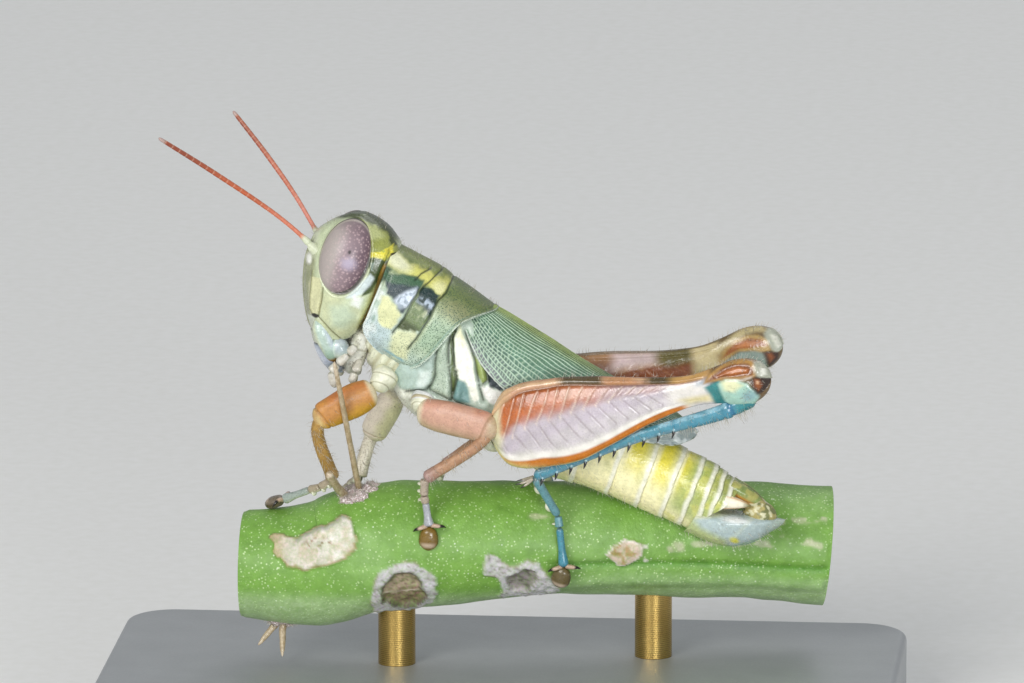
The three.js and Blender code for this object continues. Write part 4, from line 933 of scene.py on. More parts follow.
HEAD_CENTRE = np.array((-6.0, 0, 18.0))
EYE_CENTRE, EYE_HALF, EYE_TILT = (-0.06, 1.0, 1.92), (1.05, 0.82, 1.58), 17
EYE_COS, EYE_SIN = math.cos(math.radians(EYE_TILT)), math.sin(math.radians(EYE_TILT))
foot, crown = -1.45, 3.52
face = through([[foot, -1.5], [-0.7, -1.73], [0, -1.83], [0.85, -1.87], [1.8, -1.79], [2.35, -1.6],
        [2.8, -1.35], [3.25, -0.7], [crown, 0.0]])
rear = through([[foot, 0.1], [-1.1, 0.42], [-0.6, 0.85], [0, 1.15], [0.9, 1.6], [1.7, 2.0], [2.3, 2.0],
        [2.9, 1.62], [3.25, 1.2], [crown, 0.7]])
breadth = through([[foot, 1.05], [-0.7, 1.5], [0, 1.64], [0.85, 1.62], [1.8, 1.5], [2.4, 1.34], [2.9, 1.08],
        [3.25, 0.78], [crown, 0.34]])
level = (foot + (crown - foot) * eased(286))[:, None]
angle = np.linspace(0, TAU, 306, endpoint=False)[None, :]
middle, deep = (face(level) + rear(level)) / 2, (rear(level) - face(level)) / 2
head = np.stack([
        middle + deep * squared(np.cos(angle), 2.3),
        breadth(level) * squared(np.sin(angle), 2.3) * (1 + 0.16 * np.cos(angle)),
        level + 0 * angle,
    ], -1)
X, Y, Z = np.moveaxis(head, -1, 0)
wander = 0.12 * (grain(head, 0.4, 16) - 0.5) + 0.05 * (grain(head, 0.15, 39) - 0.5)
in_front = ramp(-X, 1.2, 1.45)
at_side = ramp(np.abs(Y), 0.35, 0.6)
ridges = stripe(np.abs(Y) - 0.3, 0.05, 0.12) * ramp(-X, 0.9, 1.3) * ramp(-Z, -2.9, -2.3) * ramp(Z, -1.3, -0.9)
face_edge = to_line(X, Z, [(-1.42, 1.3), (-1.45, 0.81), (-1.51, 0.31), (-1.53, -0.19), (-1.4, -0.45)])
cheek_edge = to_line(X, Z, [(-1.0, 0.7), (-1.06, 0.2), (-1.14, -0.11), (-1.21, -0.5), (-0.95, -0.75),
        (-0.61, -1.13), (-0.3, -1.43)])
neck_edge = to_line(X + 0.3 * wander, Z, [(1.72, 2.2), (1.53, 1.7), (1.42, 1.4), (1.22, 0.8), (1.03, 0.19),
        (0.8, -0.36), (0.42, -1.17)])
eye_u, eye_v = X - EYE_CENTRE[0], Z - EYE_CENTRE[2]
eye_u, eye_v = eye_u * EYE_COS - eye_v * EYE_SIN, eye_v * EYE_COS + eye_u * EYE_SIN
from_eye = np.hypot(eye_u / EYE_HALF[0], eye_v / EYE_HALF[2])
socket = (1 - ramp(from_eye, 0.9, 0.97)) * at_side
relief = (0.045 * (grain(head, 0.7, 17) - 0.5) + 0.05 * ridges + 0.05 * np.exp(-(face_edge / 0.06) ** 2)
    * at_side
    - 0.06 * np.exp(-(cheek_edge / 0.05) ** 2) * at_side - 0.09 * np.exp(-(neck_edge / 0.06) ** 2) * at_side
    + 0.04 * np.exp(-((neck_edge - 0.2) / 0.1) ** 2) * at_side - 0.05 * socket
    + 0.03 * stripe(from_eye - 1.0, 0.02, 0.06) * at_side)
head = head + outward(head) * relief[..., None]
paint = coat_of(head, "c0cba8")
x, z = X + wander, Z + wander
HEAD_MARKS = [  # outline, edge softness, colour, strength
    ([(-1.1, 0.7), (-0.2, 0.4), (0.6, -0.2), (0.4, -1.3), (-0.4, -1.5), (-1.1, -0.7)], 0.5, "c6cba4", 0.9),
    ([(-0.7, 0.0), (0.1, 0.2), (0.3, -0.5), (-0.1, -1.0), (-0.6, -0.8)], 0.5, "bccdb6", 0.8),
    ([(0.5, 3.4), (1.3, 3.1), (1.9, 2.6), (2.2, 1.9), (1.6, 1.75), (0.9, 2.0), (0.5, 2.6)], 0.2, "93994e", 1),
    ([(0.7, 3.4), (1.25, 3.08), (1.42, 2.7), (0.96, 2.7)], 0.25, "bcc28e", 0.7),
    ([(-0.9, 3.5), (0.36, 3.65), (1.1, 3.4), (1.5, 3.2), (1.9, 2.8), (2.2, 2.3), (1.8, 2.35), (1.47, 2.84),
            (1.16, 3.12), (0.8, 3.33), (0.3, 3.38), (-0.6, 3.3)], 0.12, "39441f", 0.95),
    ([(0.6, 0.45), (1.05, 0.6), (1.4, 0.9), (1.55, 1.37), (1.65, 1.75), (1.46, 1.93), (0.85, 2.0),
            (0.9, 1.2), (0.7, 0.7)], 0.1, "3a4a1d", 1),
    # A painted highlight: the glint on the olive block.
    ([(0.96, 1.8), (1.1, 1.76), (1.05, 1.5), (0.97, 1.45)], 0.1, "8fa39a", 0.7),
    ([(0.85, 2.22), (1.32, 2.2), (1.8, 2.45), (1.8, 2.1), (1.5, 1.75), (1.21, 1.97), (0.9, 2.02)], 0.07,
        "dcd24a", 1),
    # The pale streak is partly pale cuticle and partly a painted highlight.
    ([(0.95, 1.35), (1.08, 1.15), (0.86, 0.8), (0.59, 0.52), (0.24, 0.34), (0.0, 0.42), (0.49, 0.92)], 0.14,
        "d2dfe3", 0.9),
    ([(1.1, 0.85), (1.25, 0.95), (1.1, 0.3), (0.85, -0.3), (0.5, -1.1), (0.25, -1.1), (0.6, -0.2),
            (0.85, 0.4)], 0.18, "b2b068", 0.85),
    # A painted highlight: the white glint low on the cheek.
    ([(0.24, 0.42), (0.66, 0.36), (0.48, -0.08), (0.2, 0.08)], 0.22, "f0f4f0", 0.9),
    ([(-1.5, 1.1), (-1.05, 1.1), (-1.02, 0.27), (-1.13, -0.4), (-1.48, -0.42), (-1.55, 0.19)], 0.08,
        "d0cfa4", 0.95),
    ([(-2.2, 3.0), (-1.2, 3.0), (-1.2, 2.2), (-1.35, 1.8), (-2.2, 1.8)], 0.3, "c9cfb6", 0.8),
    ([(-2.2, -0.5), (-1.35, -0.5), (-1.1, -1.6), (-2.2, -1.6)], 0.12, "c5cbbc", 1),
]
dab(paint, in_front, "8d906f", 0.9)
for outline, soft, code, strength in HEAD_MARKS:
    dab(paint, patch(x, z, outline, soft) * np.maximum(at_side, ramp(Z, 2.3, 2.7)), code, strength)
dab(paint, ramp(grain(head, 0.16, 62), 0.55, 0.8) * patch(x, z, HEAD_MARKS[7][0], 0.2), "7f9a52", 0.7)
dab(paint, spot(X, Z, (-1.62, 1.75), (0.13, 0.2), 0, 0.5) * ramp(-Y, 0.2, 0.5), "fbfbf6", 0.9)
behind = patch(X + 0.3 * wander, Z, [(1.72, 2.1), (1.53, 1.7), (1.42, 1.4), (1.22, 0.8), (1.03, 0.19),
        (0.8, -0.36), (0.42, -1.17), (2.5, -1.6), (2.6, 2.1)], 0.03) * at_side
dab(paint, np.maximum(behind, stripe(neck_edge, 0.07, 0.05)) * at_side * ramp(1.75 - Z, 0, 0.2), "a98432",
    0.9)
# Painted shade: beyond its amber edge, the back of the head under the pronotum's collar is near-black.
dab(paint, behind * ramp(neck_edge, 0.03, 0.08), "2b2412", 0.95)
dab(paint, np.exp(-(face_edge / 0.04) ** 2) * at_side, "7b7c55", 0.85)
dab(paint, np.exp(-(cheek_edge / 0.04) ** 2) * at_side, "6a6a3e", 0.85)
dab(paint, spot(X, Z, (-1.32, -0.47), (0.13, 0.09), -20, 0.3) * at_side, "17150d")
dab(paint, stripe(from_eye - 1.0, 0.008, 0.03) * at_side, "c6c8a4", 0.5)
# Painted shade: the head under the eye is darkened, so the gap round the eye shows dark.
dab(paint, socket, "35302a")
head_shell = cuticle("head_shell", gloss=0.3, mottle=0.4, coat=0.45)
piece("head_capsule", [head + HEAD_CENTRE], head_shell, ["head"], [paint], [0.12 + 0 * X])
bristly = (ramp(Z, 2.7, 3.2) + 0.7 * ramp(-X, 1.4, 1.6) + 0.04) * ramp(from_eye, 1.0, 1.06)
hairs("head_hairs", [head + HEAD_CENTRE], [bristly], 150, (0.1, 0.22), (-0.2, 0, 0.2), ["head"],
    85, thick=0.006, code="b9b7a4")

# Eyes: smooth faceted domes, grey in front and plum behind, with pale rose specks round one dark spot.
eye_finish = Finish("eye_facets", Coat_Weight=0.2, Coat_Roughness=0.22)
paint_of_eye = eye_finish.layer("paint", "Color")
specks = eye_finish.layer("fleck", "Fac")
speck_share = eye_finish.times(eye_finish.spread(eye_finish.dots(0.12), 0.12, 0.5, 0.72, 0.0), specks)
facets = eye_finish.dots(0.032)
eye_colour = eye_finish.mix(speck_share, paint_of_eye, solid_tint("c9afb0"))
eye_finish.wire(eye_finish.shader, Roughness=eye_finish.spread(facets, 0.1, 0.6, 0.34, 0.48),
    Base_Color=eye_finish.mix(eye_finish.spread(facets, 0.1, 0.6, 0.0, 0.15), eye_colour,
        solid_tint("4d3f46")),
    Normal=eye_finish.bump(facets, 0.004))
for word, side in (("left", -1), ("right", 1)):
    middle_of_eye = np.array((EYE_CENTRE[0], side * EYE_CENTRE[1], EYE_CENTRE[2]))
    eye = ball(HEAD_CENTRE + middle_of_eye, EYE_HALF, (side * 10, EYE_TILT), rows=150, sides=160)
    X, Y, Z = np.moveaxis(eye - HEAD_CENTRE - middle_of_eye, -1, 0)
    u = (X * EYE_COS - Z * EYE_SIN) / EYE_HALF[0]
    v = (Z * EYE_COS + X * EYE_SIN) / EYE_HALF[2]
    far = np.hypot(u, v)
    blotch = grain(eye, 0.3, 63) - 0.5
    paint = coat_of(eye, "8d7a80")
    dab(paint, ramp(-u + 0.2 * blotch, -0.05, 0.55), "aaa19c")
    dab(paint, ramp(u + 0.3 * blotch, 0.05, 0.7), "664f5a", 0.95)
    dab(paint, ramp(v, 0.55, 0.9), "6f5f63", 0.5)
    # A painted highlight: a soft lilac reflection on the eye.
    dab(paint, spot(u, v, (0.18, -0.05), (0.28, 0.15), 0, 0.7), "c9c1dc", 0.5)
    dab(paint, stripe(np.hypot(u - 0.09, (v - 0.24) * 1.2), 0.06, 0.05), "24161a")
    dab(paint, ramp(far, 0.93, 0.97), "b9afa2", 0.8)
    dab(paint, ramp(far, 0.975, 0.99), "40382f")
    specked = (0.2 + 0.7 * ramp(u, -0.8, -0.2)) * (1 - ramp(far, 0.86, 0.95)) * ramp(np.hypot(u - 0.09,
            v - 0.24), 0.1, 0.16)
    piece(f"eye_dome_{word}", [eye], eye_finish.material, [f"eye_{word}"], [paint], [specked])


# ---- Antennae: sword-straight threads of two dozen short joints on a thick first joint below each eye.

ANTENNAE = {
    "left": [(-7.25, -0.75, 20.0), (-7.72, -0.8, 20.54), (-8.8, -1.1, 21.55), (-11.2, -1.95, 23.4),
        (-13.35, -2.95, 25.0)],
    "right": [(-7.15, 0.75, 20.1), (-7.46, 0.85, 20.56), (-8.35, 1.05, 22.0), (-9.55, 1.55, 23.55),
        (-10.95, 2.2, 25.15)],
}
antenna_shell = cuticle("antenna_shell", gloss=0.42, mottle=0.12, pit=0.004, coat=0.15, fleck="5e2a18")
antennae = {}
for word, line in ANTENNAE.items():
    antenna = Limb(line, [[0, 0.2, 0.2], [0.04, 0.2, 0.2], [0.06, 0.13, 0.13], [0.075, 0.15, 0.15],
            [0.1, 0.12, 0.12], [0.13, 0.09, 0.09], [0.6, 0.1, 0.1], [0.92, 0.085, 0.085], [1, 0.07, 0.07]],
        ends=(0.01, 0.02), power=2.0, rows=400, sides=18)
    joint = antenna.along * 24
    waist = np.abs(joint - np.round(joint))
    seen = ramp(antenna.along, 0.2, 0.35)
    antenna.swell(-0.007 * np.exp(-(waist / 0.07) ** 2) * ramp(antenna.along, 0.1, 0.12))
    antenna.coat("cc755a" if word == "left" else "c87c6c")
    antenna.dab(ramp(antenna.along, 0.2, 0.45), "b2552f" if word == "left" else "b05e46")
    antenna.dab(ramp(antenna.along, 0.5, 0.85), "8a3f26")
    # Painted light: each antenna is paler along its upper side.
    antenna.dab(ramp(antenna.level, 0.2, 0.95), "dd9a80", 0.3)
    antenna.dab(np.exp(-(waist / 0.05) ** 2) * seen, "e0b8a0", 0.5)
    antenna.dab(ramp(antenna.along, 0.955, 0.97), "b09a94", 0.9)
    antenna.dab(ramp(-antenna.along, -0.125, -0.095), "cdd3b8")
    antennae[word] = antenna
    limb_piece(f"antenna_thread_{word}", [antenna], antenna_shell, [f"antenna_{word}"])


# ---- Mouthparts: the lip in front, two jaws, the maxillae and labium behind them, and four jointed palps.

labrum_level = (-2.95 + 1.75 * eased(90))[:, None]
angle = np.linspace(0, TAU, 90, endpoint=False)[None, :]
lip_face = through([[-2.95, -0.85], [-2.5, -1.18], [-2.1, -1.38], [-1.6, -1.52], [-1.2, -1.6]])(labrum_level)
lip_half = through([[-2.95, 0.35], [-2.6, 0.75], [-1.9, 0.92], [-1.2, 0.95]])(labrum_level)
labrum = np.stack([
        lip_face + 0.27 - 0.27 * squared(np.cos(angle), 2.5) + 0.25 * np.abs(np.sin(angle)) ** 3,
        lip_half * squared(np.sin(angle), 2.5),
        labrum_level + 0 * angle,
    ], -1)
X, Y, Z = np.moveaxis(labrum, -1, 0)
clypeus_line = np.exp(-((Z + 1.72) / 0.04) ** 2)
labrum = labrum - outward(labrum) * (0.05 * clypeus_line)[..., None]
paint = coat_of(labrum, "8b97a6")
dab(paint, ramp(Z, -1.77, -1.67), "b9bfae")
dab(paint, ramp(-Z, 2.05, 2.2) * ramp(2.6 + Z, -0.1, 0.1), "5a6678", 0.7)
# A painted highlight: a blue-white reflection on the lip.
dab(paint, spot(Y, Z, (-0.55, -2.2), (0.3, 0.4), 0, 0.6), "cfd6e8", 0.85)
dab(paint, clypeus_line, "2b3126", 0.9)
mouth_shell = cuticle("mouth_shell", gloss=0.26, mottle=0.25, coat=0.5)
piece("labrum_lip", [labrum + HEAD_CENTRE], mouth_shell, ["labrum"], [paint], [0.05 + 0 * X])


def head_line(*points):
    return [HEAD_CENTRE + point for point in points]


for word, side in (("left", -1), ("right", 1)):
    jaw = Limb(head_line((-1.27, side * 0.95, -0.6), (-1.07, side * 1.0, -1.2), (-0.8, side * 0.85, -1.8),
            (-0.5, side * 0.5, -2.5)),
        [[0, 0.2, 0.2], [0.2, 0.3, 0.3], [0.5, 0.33, 0.34], [0.8, 0.3, 0.3], [1, 0.2, 0.2]], up=(1, 0, 0),
        ends=(0.16, 0.2), sides=60)
    # The white-blue tint on the jaw's upper back half is a painted highlight; the yellow-green on its front
    # half is its own tinge.
    jaw.coat("b4c8be").dab(ramp(jaw.level, 0.2, 0.8), "ccd8e6", 0.8).dab(ramp(-jaw.level, 0.2, 0.8),
        "c9cfae", 0.8)
    jaw.dab(ramp(jaw.along, 0.5, 0.72), "8fae9b", 0.7)
    jaw.dab(ramp(jaw.along, 0.74, 0.84), "7a5316").dab(ramp(jaw.along, 0.9, 0.97), "2a1c0a")
    jaw.dab(ramp(np.abs(jaw.level), 0.9, 0.98), "7d8a66", 0.6)
    jaw.swell(0.02 * (grain(jaw.points, 0.3, 18) - 0.5))
    limb_piece(f"mandible_jaw_{word}", [jaw], mouth_shell, [f"mandible_{word}"])
    lobe = ball(HEAD_CENTRE + (-0.36, side * 0.8, -1.86), (0.38, 0.4, 0.47), (0, -28), power=2.2)
    lobe = lobe + outward(lobe) * (0.012 * (grain(lobe, 0.3, 64) - 0.5))[..., None]
    paint = coat_of(lobe, "b4bfc6")
    dab(paint, ramp(grain(lobe, 0.3, 19), 0.45, 0.75), "9fb0b2", 0.7)
    dab(paint, ramp(-lobe[..., 2], -16.15, -15.8), "a9b39a", 0.7)
    dab(paint, ramp(-lobe[..., 0], 6.45, 6.6), "cfe3d6", 0.8)
    piece(f"maxilla_lobe_{word}", [lobe], mouth_shell, [f"maxilla_{word}"], [paint],
        [0 * lobe[..., 0]])

palp_skin = cuticle("palp_skin", gloss=0.4, mottle=0.2, coat=0.2)
under_lip = Limb(head_line((0.7, 0, -1.0), (0.34, 0, -1.9), (-0.1, 0, -3.05)),
    [[0, 0.45, 0.75], [0.5, 0.44, 0.66], [0.8, 0.42, 0.6], [1, 0.34, 0.46]], up=(1, 0, 0), ends=(0.2, 0.3),
    sides=60)
under_lip.coat("e0e0d6").dab(stripe(under_lip.along - 0.45, 0.015, 0.03), "9a9880", 0.7)
under_lip.dab(ramp(grain(under_lip.points, 0.3, 65), 0.45, 0.7), "c4c1ac", 0.6)
limb_piece("labium_lip", [under_lip], palp_skin, ["labium"])

PALPS = {
    "maxillary": [(0.3, 0.85, -1.75), (-0.02, 1.0, -2.05), (-0.42, 1.12, -2.45), (-0.7, 1.2, -2.75),
        (-0.5, 1.1, -3.4)],
    "labial": [(0.42, 0.45, -2.35), (0.25, 0.75, -2.85), (0.1, 0.8, -3.3)],
}
for kind, joints in PALPS.items():
    for word, side in (("left", -1), ("right", 1)):
        joints_here = head_line(*[(x, side * y, z) for x, y, z in joints])
        segments = []
        for k, (start, end) in enumerate(zip(joints_here, joints_here[1:])):
            last = k == len(joints_here) - 2
            segment = Limb([start, end], [[0, 0.15, 0.15], [0.6, 0.19, 0.19],
                    [1, 0.19 if last else 0.18, 0.18]],
                up=(0, 1, 0), ends=(0.2, 0.4 if last else 0.24), rows=40, sides=28)
            segment.coat("ccc9c0").dab(ramp(-segment.along, -0.12, 0.0), "9d9a80",
                0.7).dab(ramp(segment.level, 0.2, 0.9), "e0ded8", 0.6)
            segment.dab(ramp(grain(segment.points, 0.2, 66), 0.45, 0.7), "b9b3a4", 0.6)
            segments.append(segment)
        limb_piece(f"{kind}_palp_joints_{word}", segments, palp_skin, [f"{kind}_palp_{word}"])
hairs("palp_hairs", [under_lip.points], [ramp(-under_lip.over, 0.0, 0.5)], 120, (0.12, 0.25),
    (-0.4, 0, -0.5), ["labium"], 86)


# ---- Fore and middle legs: coxa and trochanter, a stout femur, a hairy shin and a foot of three joints.
# Every foot has three soft soles, two hooked claws and, between them, the large glossy gripping pad.

LEGS = {
    "fore_left": dict(
        side=-1, coxa=(-4.3, -0.95, 15.35), hip=(-4.88, -1.45, 14.6), knee=(-7.3, -2.0, 13.42),
        ankle=(-6.6, -1.15, 10.85), foot=[(-7.15, -0.9, 10.45), (-7.6, -0.6, 10.27), (-8.75, 0.05, 9.7)],
        away=(0.2, -0.3, 1),
        grip=(-0.8, 0.3, -0.3), sole=(0, 0, -1), pad=0.85),
    "fore_right": dict(
        side=1, coxa=(-4.05, 0.95, 14.95), hip=(-4.3, 1.4, 13.95), knee=(-5.45, 2.05, 11.85),
        ankle=(-5.85, 1.75, 10.3), foot=[(-6.3, 2.35, 9.85), (-7.2, 2.85, 8.9), (-7.6, 2.95, 8.3)],
        away=(0, 1, 0.25)),
    "mid_left": dict(
        side=-1, coxa=(-2.85, -1.15, 14.35), hip=(-3.15, -1.7, 13.85), knee=(0.15, -2.6, 13.3),
        ankle=(-2.8, -2.35, 11.2), foot=[(-2.85, -2.25, 10.5), (-2.8, -2.15, 10.2), (-2.66, -2.12, 9.2)],
        away=(0, -1, 0.25),
        grip=(-0.04, 0.02, -1), sole=(-0.9, 0.4, 0)),
    "mid_right": dict(
        side=1, coxa=(-2.85, 1.15, 14.35), hip=(-3.0, 1.7, 13.85), knee=(0.15, 2.85, 12.85),
        ankle=(-2.5, 2.35, 10.65), foot=[(-2.75, 2.95, 10.0), (-2.8, 3.2, 9.2), (-2.8, 3.3, 8.5)],
        away=(0, 1, 0.25)),
    "hind_left": dict(
        side=-1, coxa=(-0.3, -1.15, 12.7), hip=(0.15, -1.75, 12.95),
        ankle=(1.55, -2.0, 11.3), foot=[(2.45, -1.35, 9.56), (2.5, -1.35, 9.1), (2.68, -1.3, 7.44)],
        away=(0, -1, 0.25),
        grip=(-0.28, 0.4, -1.0), sole=(-0.9, 0.3, -0.3)),
    "hind_right": dict(
        side=1, coxa=(-0.3, 1.15, 12.7), hip=(0.15, 1.75, 12.95),
        ankle=(1.3, 3.1, 11.3), foot=[(1.75, 3.65, 9.6), (1.9, 3.85, 9.0), (2.05, 3.9, 7.9)],
        away=(0, 1, 0.25)),
}
# For each pair: femur and its lower edge, knee, shin, shin's end, foot joints, last joint, femur sizes.
LEG_TINTS = {
    "fore_left": dict(femur="bb7f3a", edge="bd8f26", top="b9653a", knee="cfc08a", shin="a37f3c",
        # The far fore leg is painted much paler than the near one: painted light against the shade it stands
        # in.
        end="ac8f62", foot="a3967f", toe="97a39c", pad="6d6252"),
    "fore_right": dict(femur="e2d6c4", edge="d2cda4", top="e2d0c4", knee="d8ceb6", shin="e2dac8",
        end="c2b8a2", foot="958a72", toe="a3ada8", pad="7a6c4c"),
    "mid": dict(femur="c69a86", edge="b9a082", top="b96f50", knee="b3a684", shin="b08768", end="a98a86",
        foot="ab9c8c", toe="a5a8b0", pad="73591a"),
    "hind": dict(foot="5f8f98", toe="3f8499", pad="5f5230"),
}
LEG_SIZES = {"fore_left": (0.69, 0.46, 0.29), "fore_right": (0.58, 0.52, 0.31), "mid": (0.66, 0.47, 0.27)}

fore_shell = cuticle("fore_shell", gloss=0.48, mottle=0.5, pit=0.008, coat=0.12, fleck="6d4526")
mid_shell = cuticle("mid_shell", gloss=0.48, mottle=0.5, pit=0.008, coat=0.12, fleck="7c5442")
tarsus_shell = cuticle("tarsus_shell", gloss=0.3, mottle=0.3, pit=0.006, coat=0.4, fleck="3c2f24")


def foot_limbs(leg, tints):
    """The joints of one foot from the ankle to the toe, with its soles, claws and pad."""
    points = np.array([leg["ankle"], *leg["foot"]])
    away = unit(leg["away"])
    sizes = [[[0, 0.2, 0.2], [0.5, 0.17, 0.17], [1, 0.19, 0.18]], [[0, 0.15, 0.15], [1, 0.18, 0.18]],
        [[0, 0.15, 0.15], [0.55, 0.15, 0.15], [0.9, 0.21, 0.21], [1, 0.19, 0.19]]]
    hang = unit(leg.get("sole", -away))
    limbs = []
    for k, (start, end) in enumerate(zip(points, points[1:])):
        joint = Limb([start, end], sizes[k], up=away, ends=(0.12, 0.12), rows=36, sides=24)
        joint.coat(tints["toe"] if k == 2 else tints["foot"])
        joint.dab(ramp(-joint.along, -0.1, -0.02) + ramp(joint.along, 0.92, 1), "6f6450", 0.4)
        joint.dab(ramp(-joint.level, 0.2, 0.9), "d3d2b8", 0.5)
        joint.fleck = 0.25 + 0 * joint.along
        limbs.append(joint)
        for share in ((0.3, 0.75) if k == 0 else (0.6,) if k == 1 else ()):
            spot_here = start + (end - start) * share + hang * 0.16
            sole = Limb([spot_here - (end - start) * 0.1, spot_here + (end - start) * 0.12],
                [[0, 0.1, 0.12], [0.5, 0.13, 0.15], [1, 0.1, 0.1]], up=away, ends=(0.4, 0.4), rows=18,
                sides=16)
            limbs.append(sole.coat("d3d6bd"))
    toe = points[-1]
    ahead = unit(toe - points[-2])
    across = unit(np.cross(ahead, away))
    for side in (-1, 1):
        claw = Limb([toe - 0.05 * ahead + side * 0.06 * across, toe + 0.03 * ahead + side * 0.34 * across
                + 0.12 * away, toe + 0.07 * ahead + side * 0.56 * across + 0.08 * away,
                toe + 0.13 * ahead + side * 0.66 * across - 0.05 * away],
            [[0, 0.1, 0.1], [0.5, 0.08, 0.08], [1, 0.015, 0.015]], up=away, ends=(0.1, 0.02), rows=30,
            sides=12)
        claw.coat("b39a84").dab(ramp(claw.along, 0.5, 0.62), "15100d")
        limbs.append(claw)
    grip = unit(leg.get("grip", ahead))
    big = leg.get("pad", 1)
    pad = Limb([toe, toe + 0.45 * big * grip, toe + big * grip],
        [[0, 0.2, 0.24], [0.4, 0.27 * big, 0.38 * big], [0.8, 0.26 * big, 0.38 * big], [1, 0.2, 0.28]],
        up=away, ends=(0.22, 0.4), rows=44, sides=32)
    pad.coat(tints["pad"]).dab(ramp(-np.abs(pad.level), -0.55, -0.1), "3f2d10", 0.75)
    # A painted highlight: a pale glint on the glossy pad.
    pad.dab(ramp(pad.level, 0.4, 1.0) * stripe(pad.along - 0.75, 0.1, 0.15), "cdb8a4", 0.7)
    limbs.append(pad)
    return limbs


def coxa_limb(leg, thick, kind):
    """A leg's basal joint with its collars: cream, or on the middle legs grey with a tan wedge."""
    coxa = Limb([leg["coxa"], leg["hip"]], [[0, thick, thick], [0.45, 1.02 * thick, thick],
            [0.7, 0.86 * thick, 0.85 * thick], [1, 0.72 * thick, 0.72 * thick]],
        up=(1, 0, 0), ends=(0.25, 0.22), rows=80, sides=56)
    lean = coxa.along + 0.12 * coxa.level + 0.03 * (grain(coxa.points, 0.4, 20) - 0.5)
    collars = sum(np.exp(-((lean - share) / 0.02) ** 2) for share in (0.42, 0.8))
    coxa.coat("dcdcc6").dab(ramp(grain(coxa.points, 0.4, 21), 0.5, 0.7), "e8e5ba", 0.6)
    if kind == "mid":
        coxa.dab(ramp(0.65 - lean, 0.0, 0.05), "d3d4d6", 0.9).dab(stripe(lean - 0.48, 0.08, 0.05), "b8a679",
            0.8)
    coxa.dab(collars, "85805c", 0.6)
    return coxa.swell(-0.03 * collars + 0.05 * (grain(coxa.points, 0.3, 45) - 0.5))


for name in ("fore_left", "fore_right", "mid_left", "mid_right"):
    leg, kind = LEGS[name], name.split("_")[0]
    tints, (high, wide, shin) = (table.get(name) or table[kind] for table in (LEG_TINTS, LEG_SIZES))
    shell = {"fore": fore_shell, "mid": mid_shell}[kind]
    limb_piece(f"{name}_hip_skin", [coxa_limb(leg, 0.5, kind)], soft_cuticle, [f"{name}_coxa"])

    hip, knee = np.array(leg["hip"]), np.array(leg["knee"])
    slim = 0.86 if name == "fore_left" else 0.98
    femur = Limb([hip, knee], [[0, 0.76 * high, 0.78 * wide], [0.3, high, wide],
            [0.75, slim * high, 0.9 * wide],
            [1, 0.9 * slim * high, 0.8 * wide]], ends=(0.1, 0.18), rows=130, sides=80)
    fold = stripe(femur.along - 0.86 - 0.05 * femur.level, 0.012, 0.02)
    femur.swell(0.03 * (grain(femur.points, 0.5, 22) - 0.5) - 0.04 * fold)
    femur.coat(tints["femur"])
    cloud = grain(femur.points, 0.5, 23)
    femur.dab(ramp(-femur.level + 0.5 * (cloud - 0.5), 0.1, 0.9), tints["edge"])
    femur.dab(ramp(femur.level, 0.3, 1.0) * ramp(cloud, 0.3, 0.7), tints["top"], 0.55)
    femur.dab(ramp(femur.along, 0.84, 0.95) * (0.35 + 0.65 * ramp(cloud, 0.25, 0.6)), tints["knee"], 0.75)
    femur.dab(ramp(-femur.along, -0.12, -0.04), "e6dfc0", 0.8)
    femur.dab(fold, "8a6c44", 0.45)
    femur.fleck = 0.2 + 0 * femur.along
    limb_piece(f"{name}_femur_shell", [femur], shell, [f"{name}_femur"])

    tibia = Limb([knee + 0.12 * (hip - knee), knee + 0.2 * (np.array(leg["ankle"]) - knee), leg["ankle"]],
        [[0, 1.15 * shin, 1.1 * shin], [0.12, 0.95 * shin, 0.9 * shin],
            [0.8, 0.95 * shin, 0.92 * shin], [1, 1.1 * shin, shin]],
        up=(0, 1, 0), ends=(0.12, 0.06), rows=100, sides=40)
    tibia.swell(0.02 * (grain(tibia.points, 0.3, 24) - 0.5))
    tibia.coat(tints["shin"])
    tibia.dab(ramp(tibia.along, 0.7, 1.0), tints["end"])
    tibia.dab(ramp(-tibia.along, -0.1, 0), tints["knee"], 0.8)
    tibia.dab(ramp(grain(tibia.points, 0.3, 25), 0.5, 0.75), "8a6a3b" if kind == "fore" else "9c7258", 0.4)
    tibia.fleck = 0.3 + 0 * tibia.along
    limb_piece(f"{name}_tibia_shell", [tibia], shell, [f"{name}_tibia"])
    hairs(f"{name}_leg_hairs", [tibia.points, femur.points], [0.3 + ramp(-tibia.level, -0.2, 0.8),
            0.05 + 0.1 * ramp(-femur.level, 0, 0.8)],
        190, (0.16, 0.4), (0.4, 0, -0.5), [f"{name}_tibia"], 89, thick=0.008)
    limb_piece(f"{name}_foot", foot_limbs(leg, tints), tarsus_shell, [f"{name}_tarsus"])


# ---- Hind legs: the big jumping femora, each a flat club with a herringbone of muscle ridges on its face,
# a keel along its lower edge and a two-lobed knee, with the slim spined shin folded up beneath it.

HIND_LINE = [(-0.2, -2.18, 13.32), (1.0, -2.4, 13.42), (1.82, -2.5, 13.58), (2.65, -2.6, 13.73),
    (4.26, -2.8, 14.22), (6.3, -3.0, 14.78), (7.9, -3.25, 15.2), (9.75, -3.5, 15.65), (11.1, -3.65, 15.85)]
HIND_SIZE = [[0, 1.1, 0.45], [0.05, 1.48, 0.52], [0.12, 1.72, 0.6], [0.2, 1.76, 0.62], [0.3, 1.68, 0.6],
    [0.42, 1.37, 0.54], [0.56, 0.94, 0.42], [0.66, 0.7, 0.34], [0.73, 0.63, 0.3], [0.8, 0.72, 0.34],
    [0.89, 0.9, 0.44], [1, 0.8, 0.4]]
RIGHT_DROP = 0.18  # how much lower the right hind leg is held than the left one


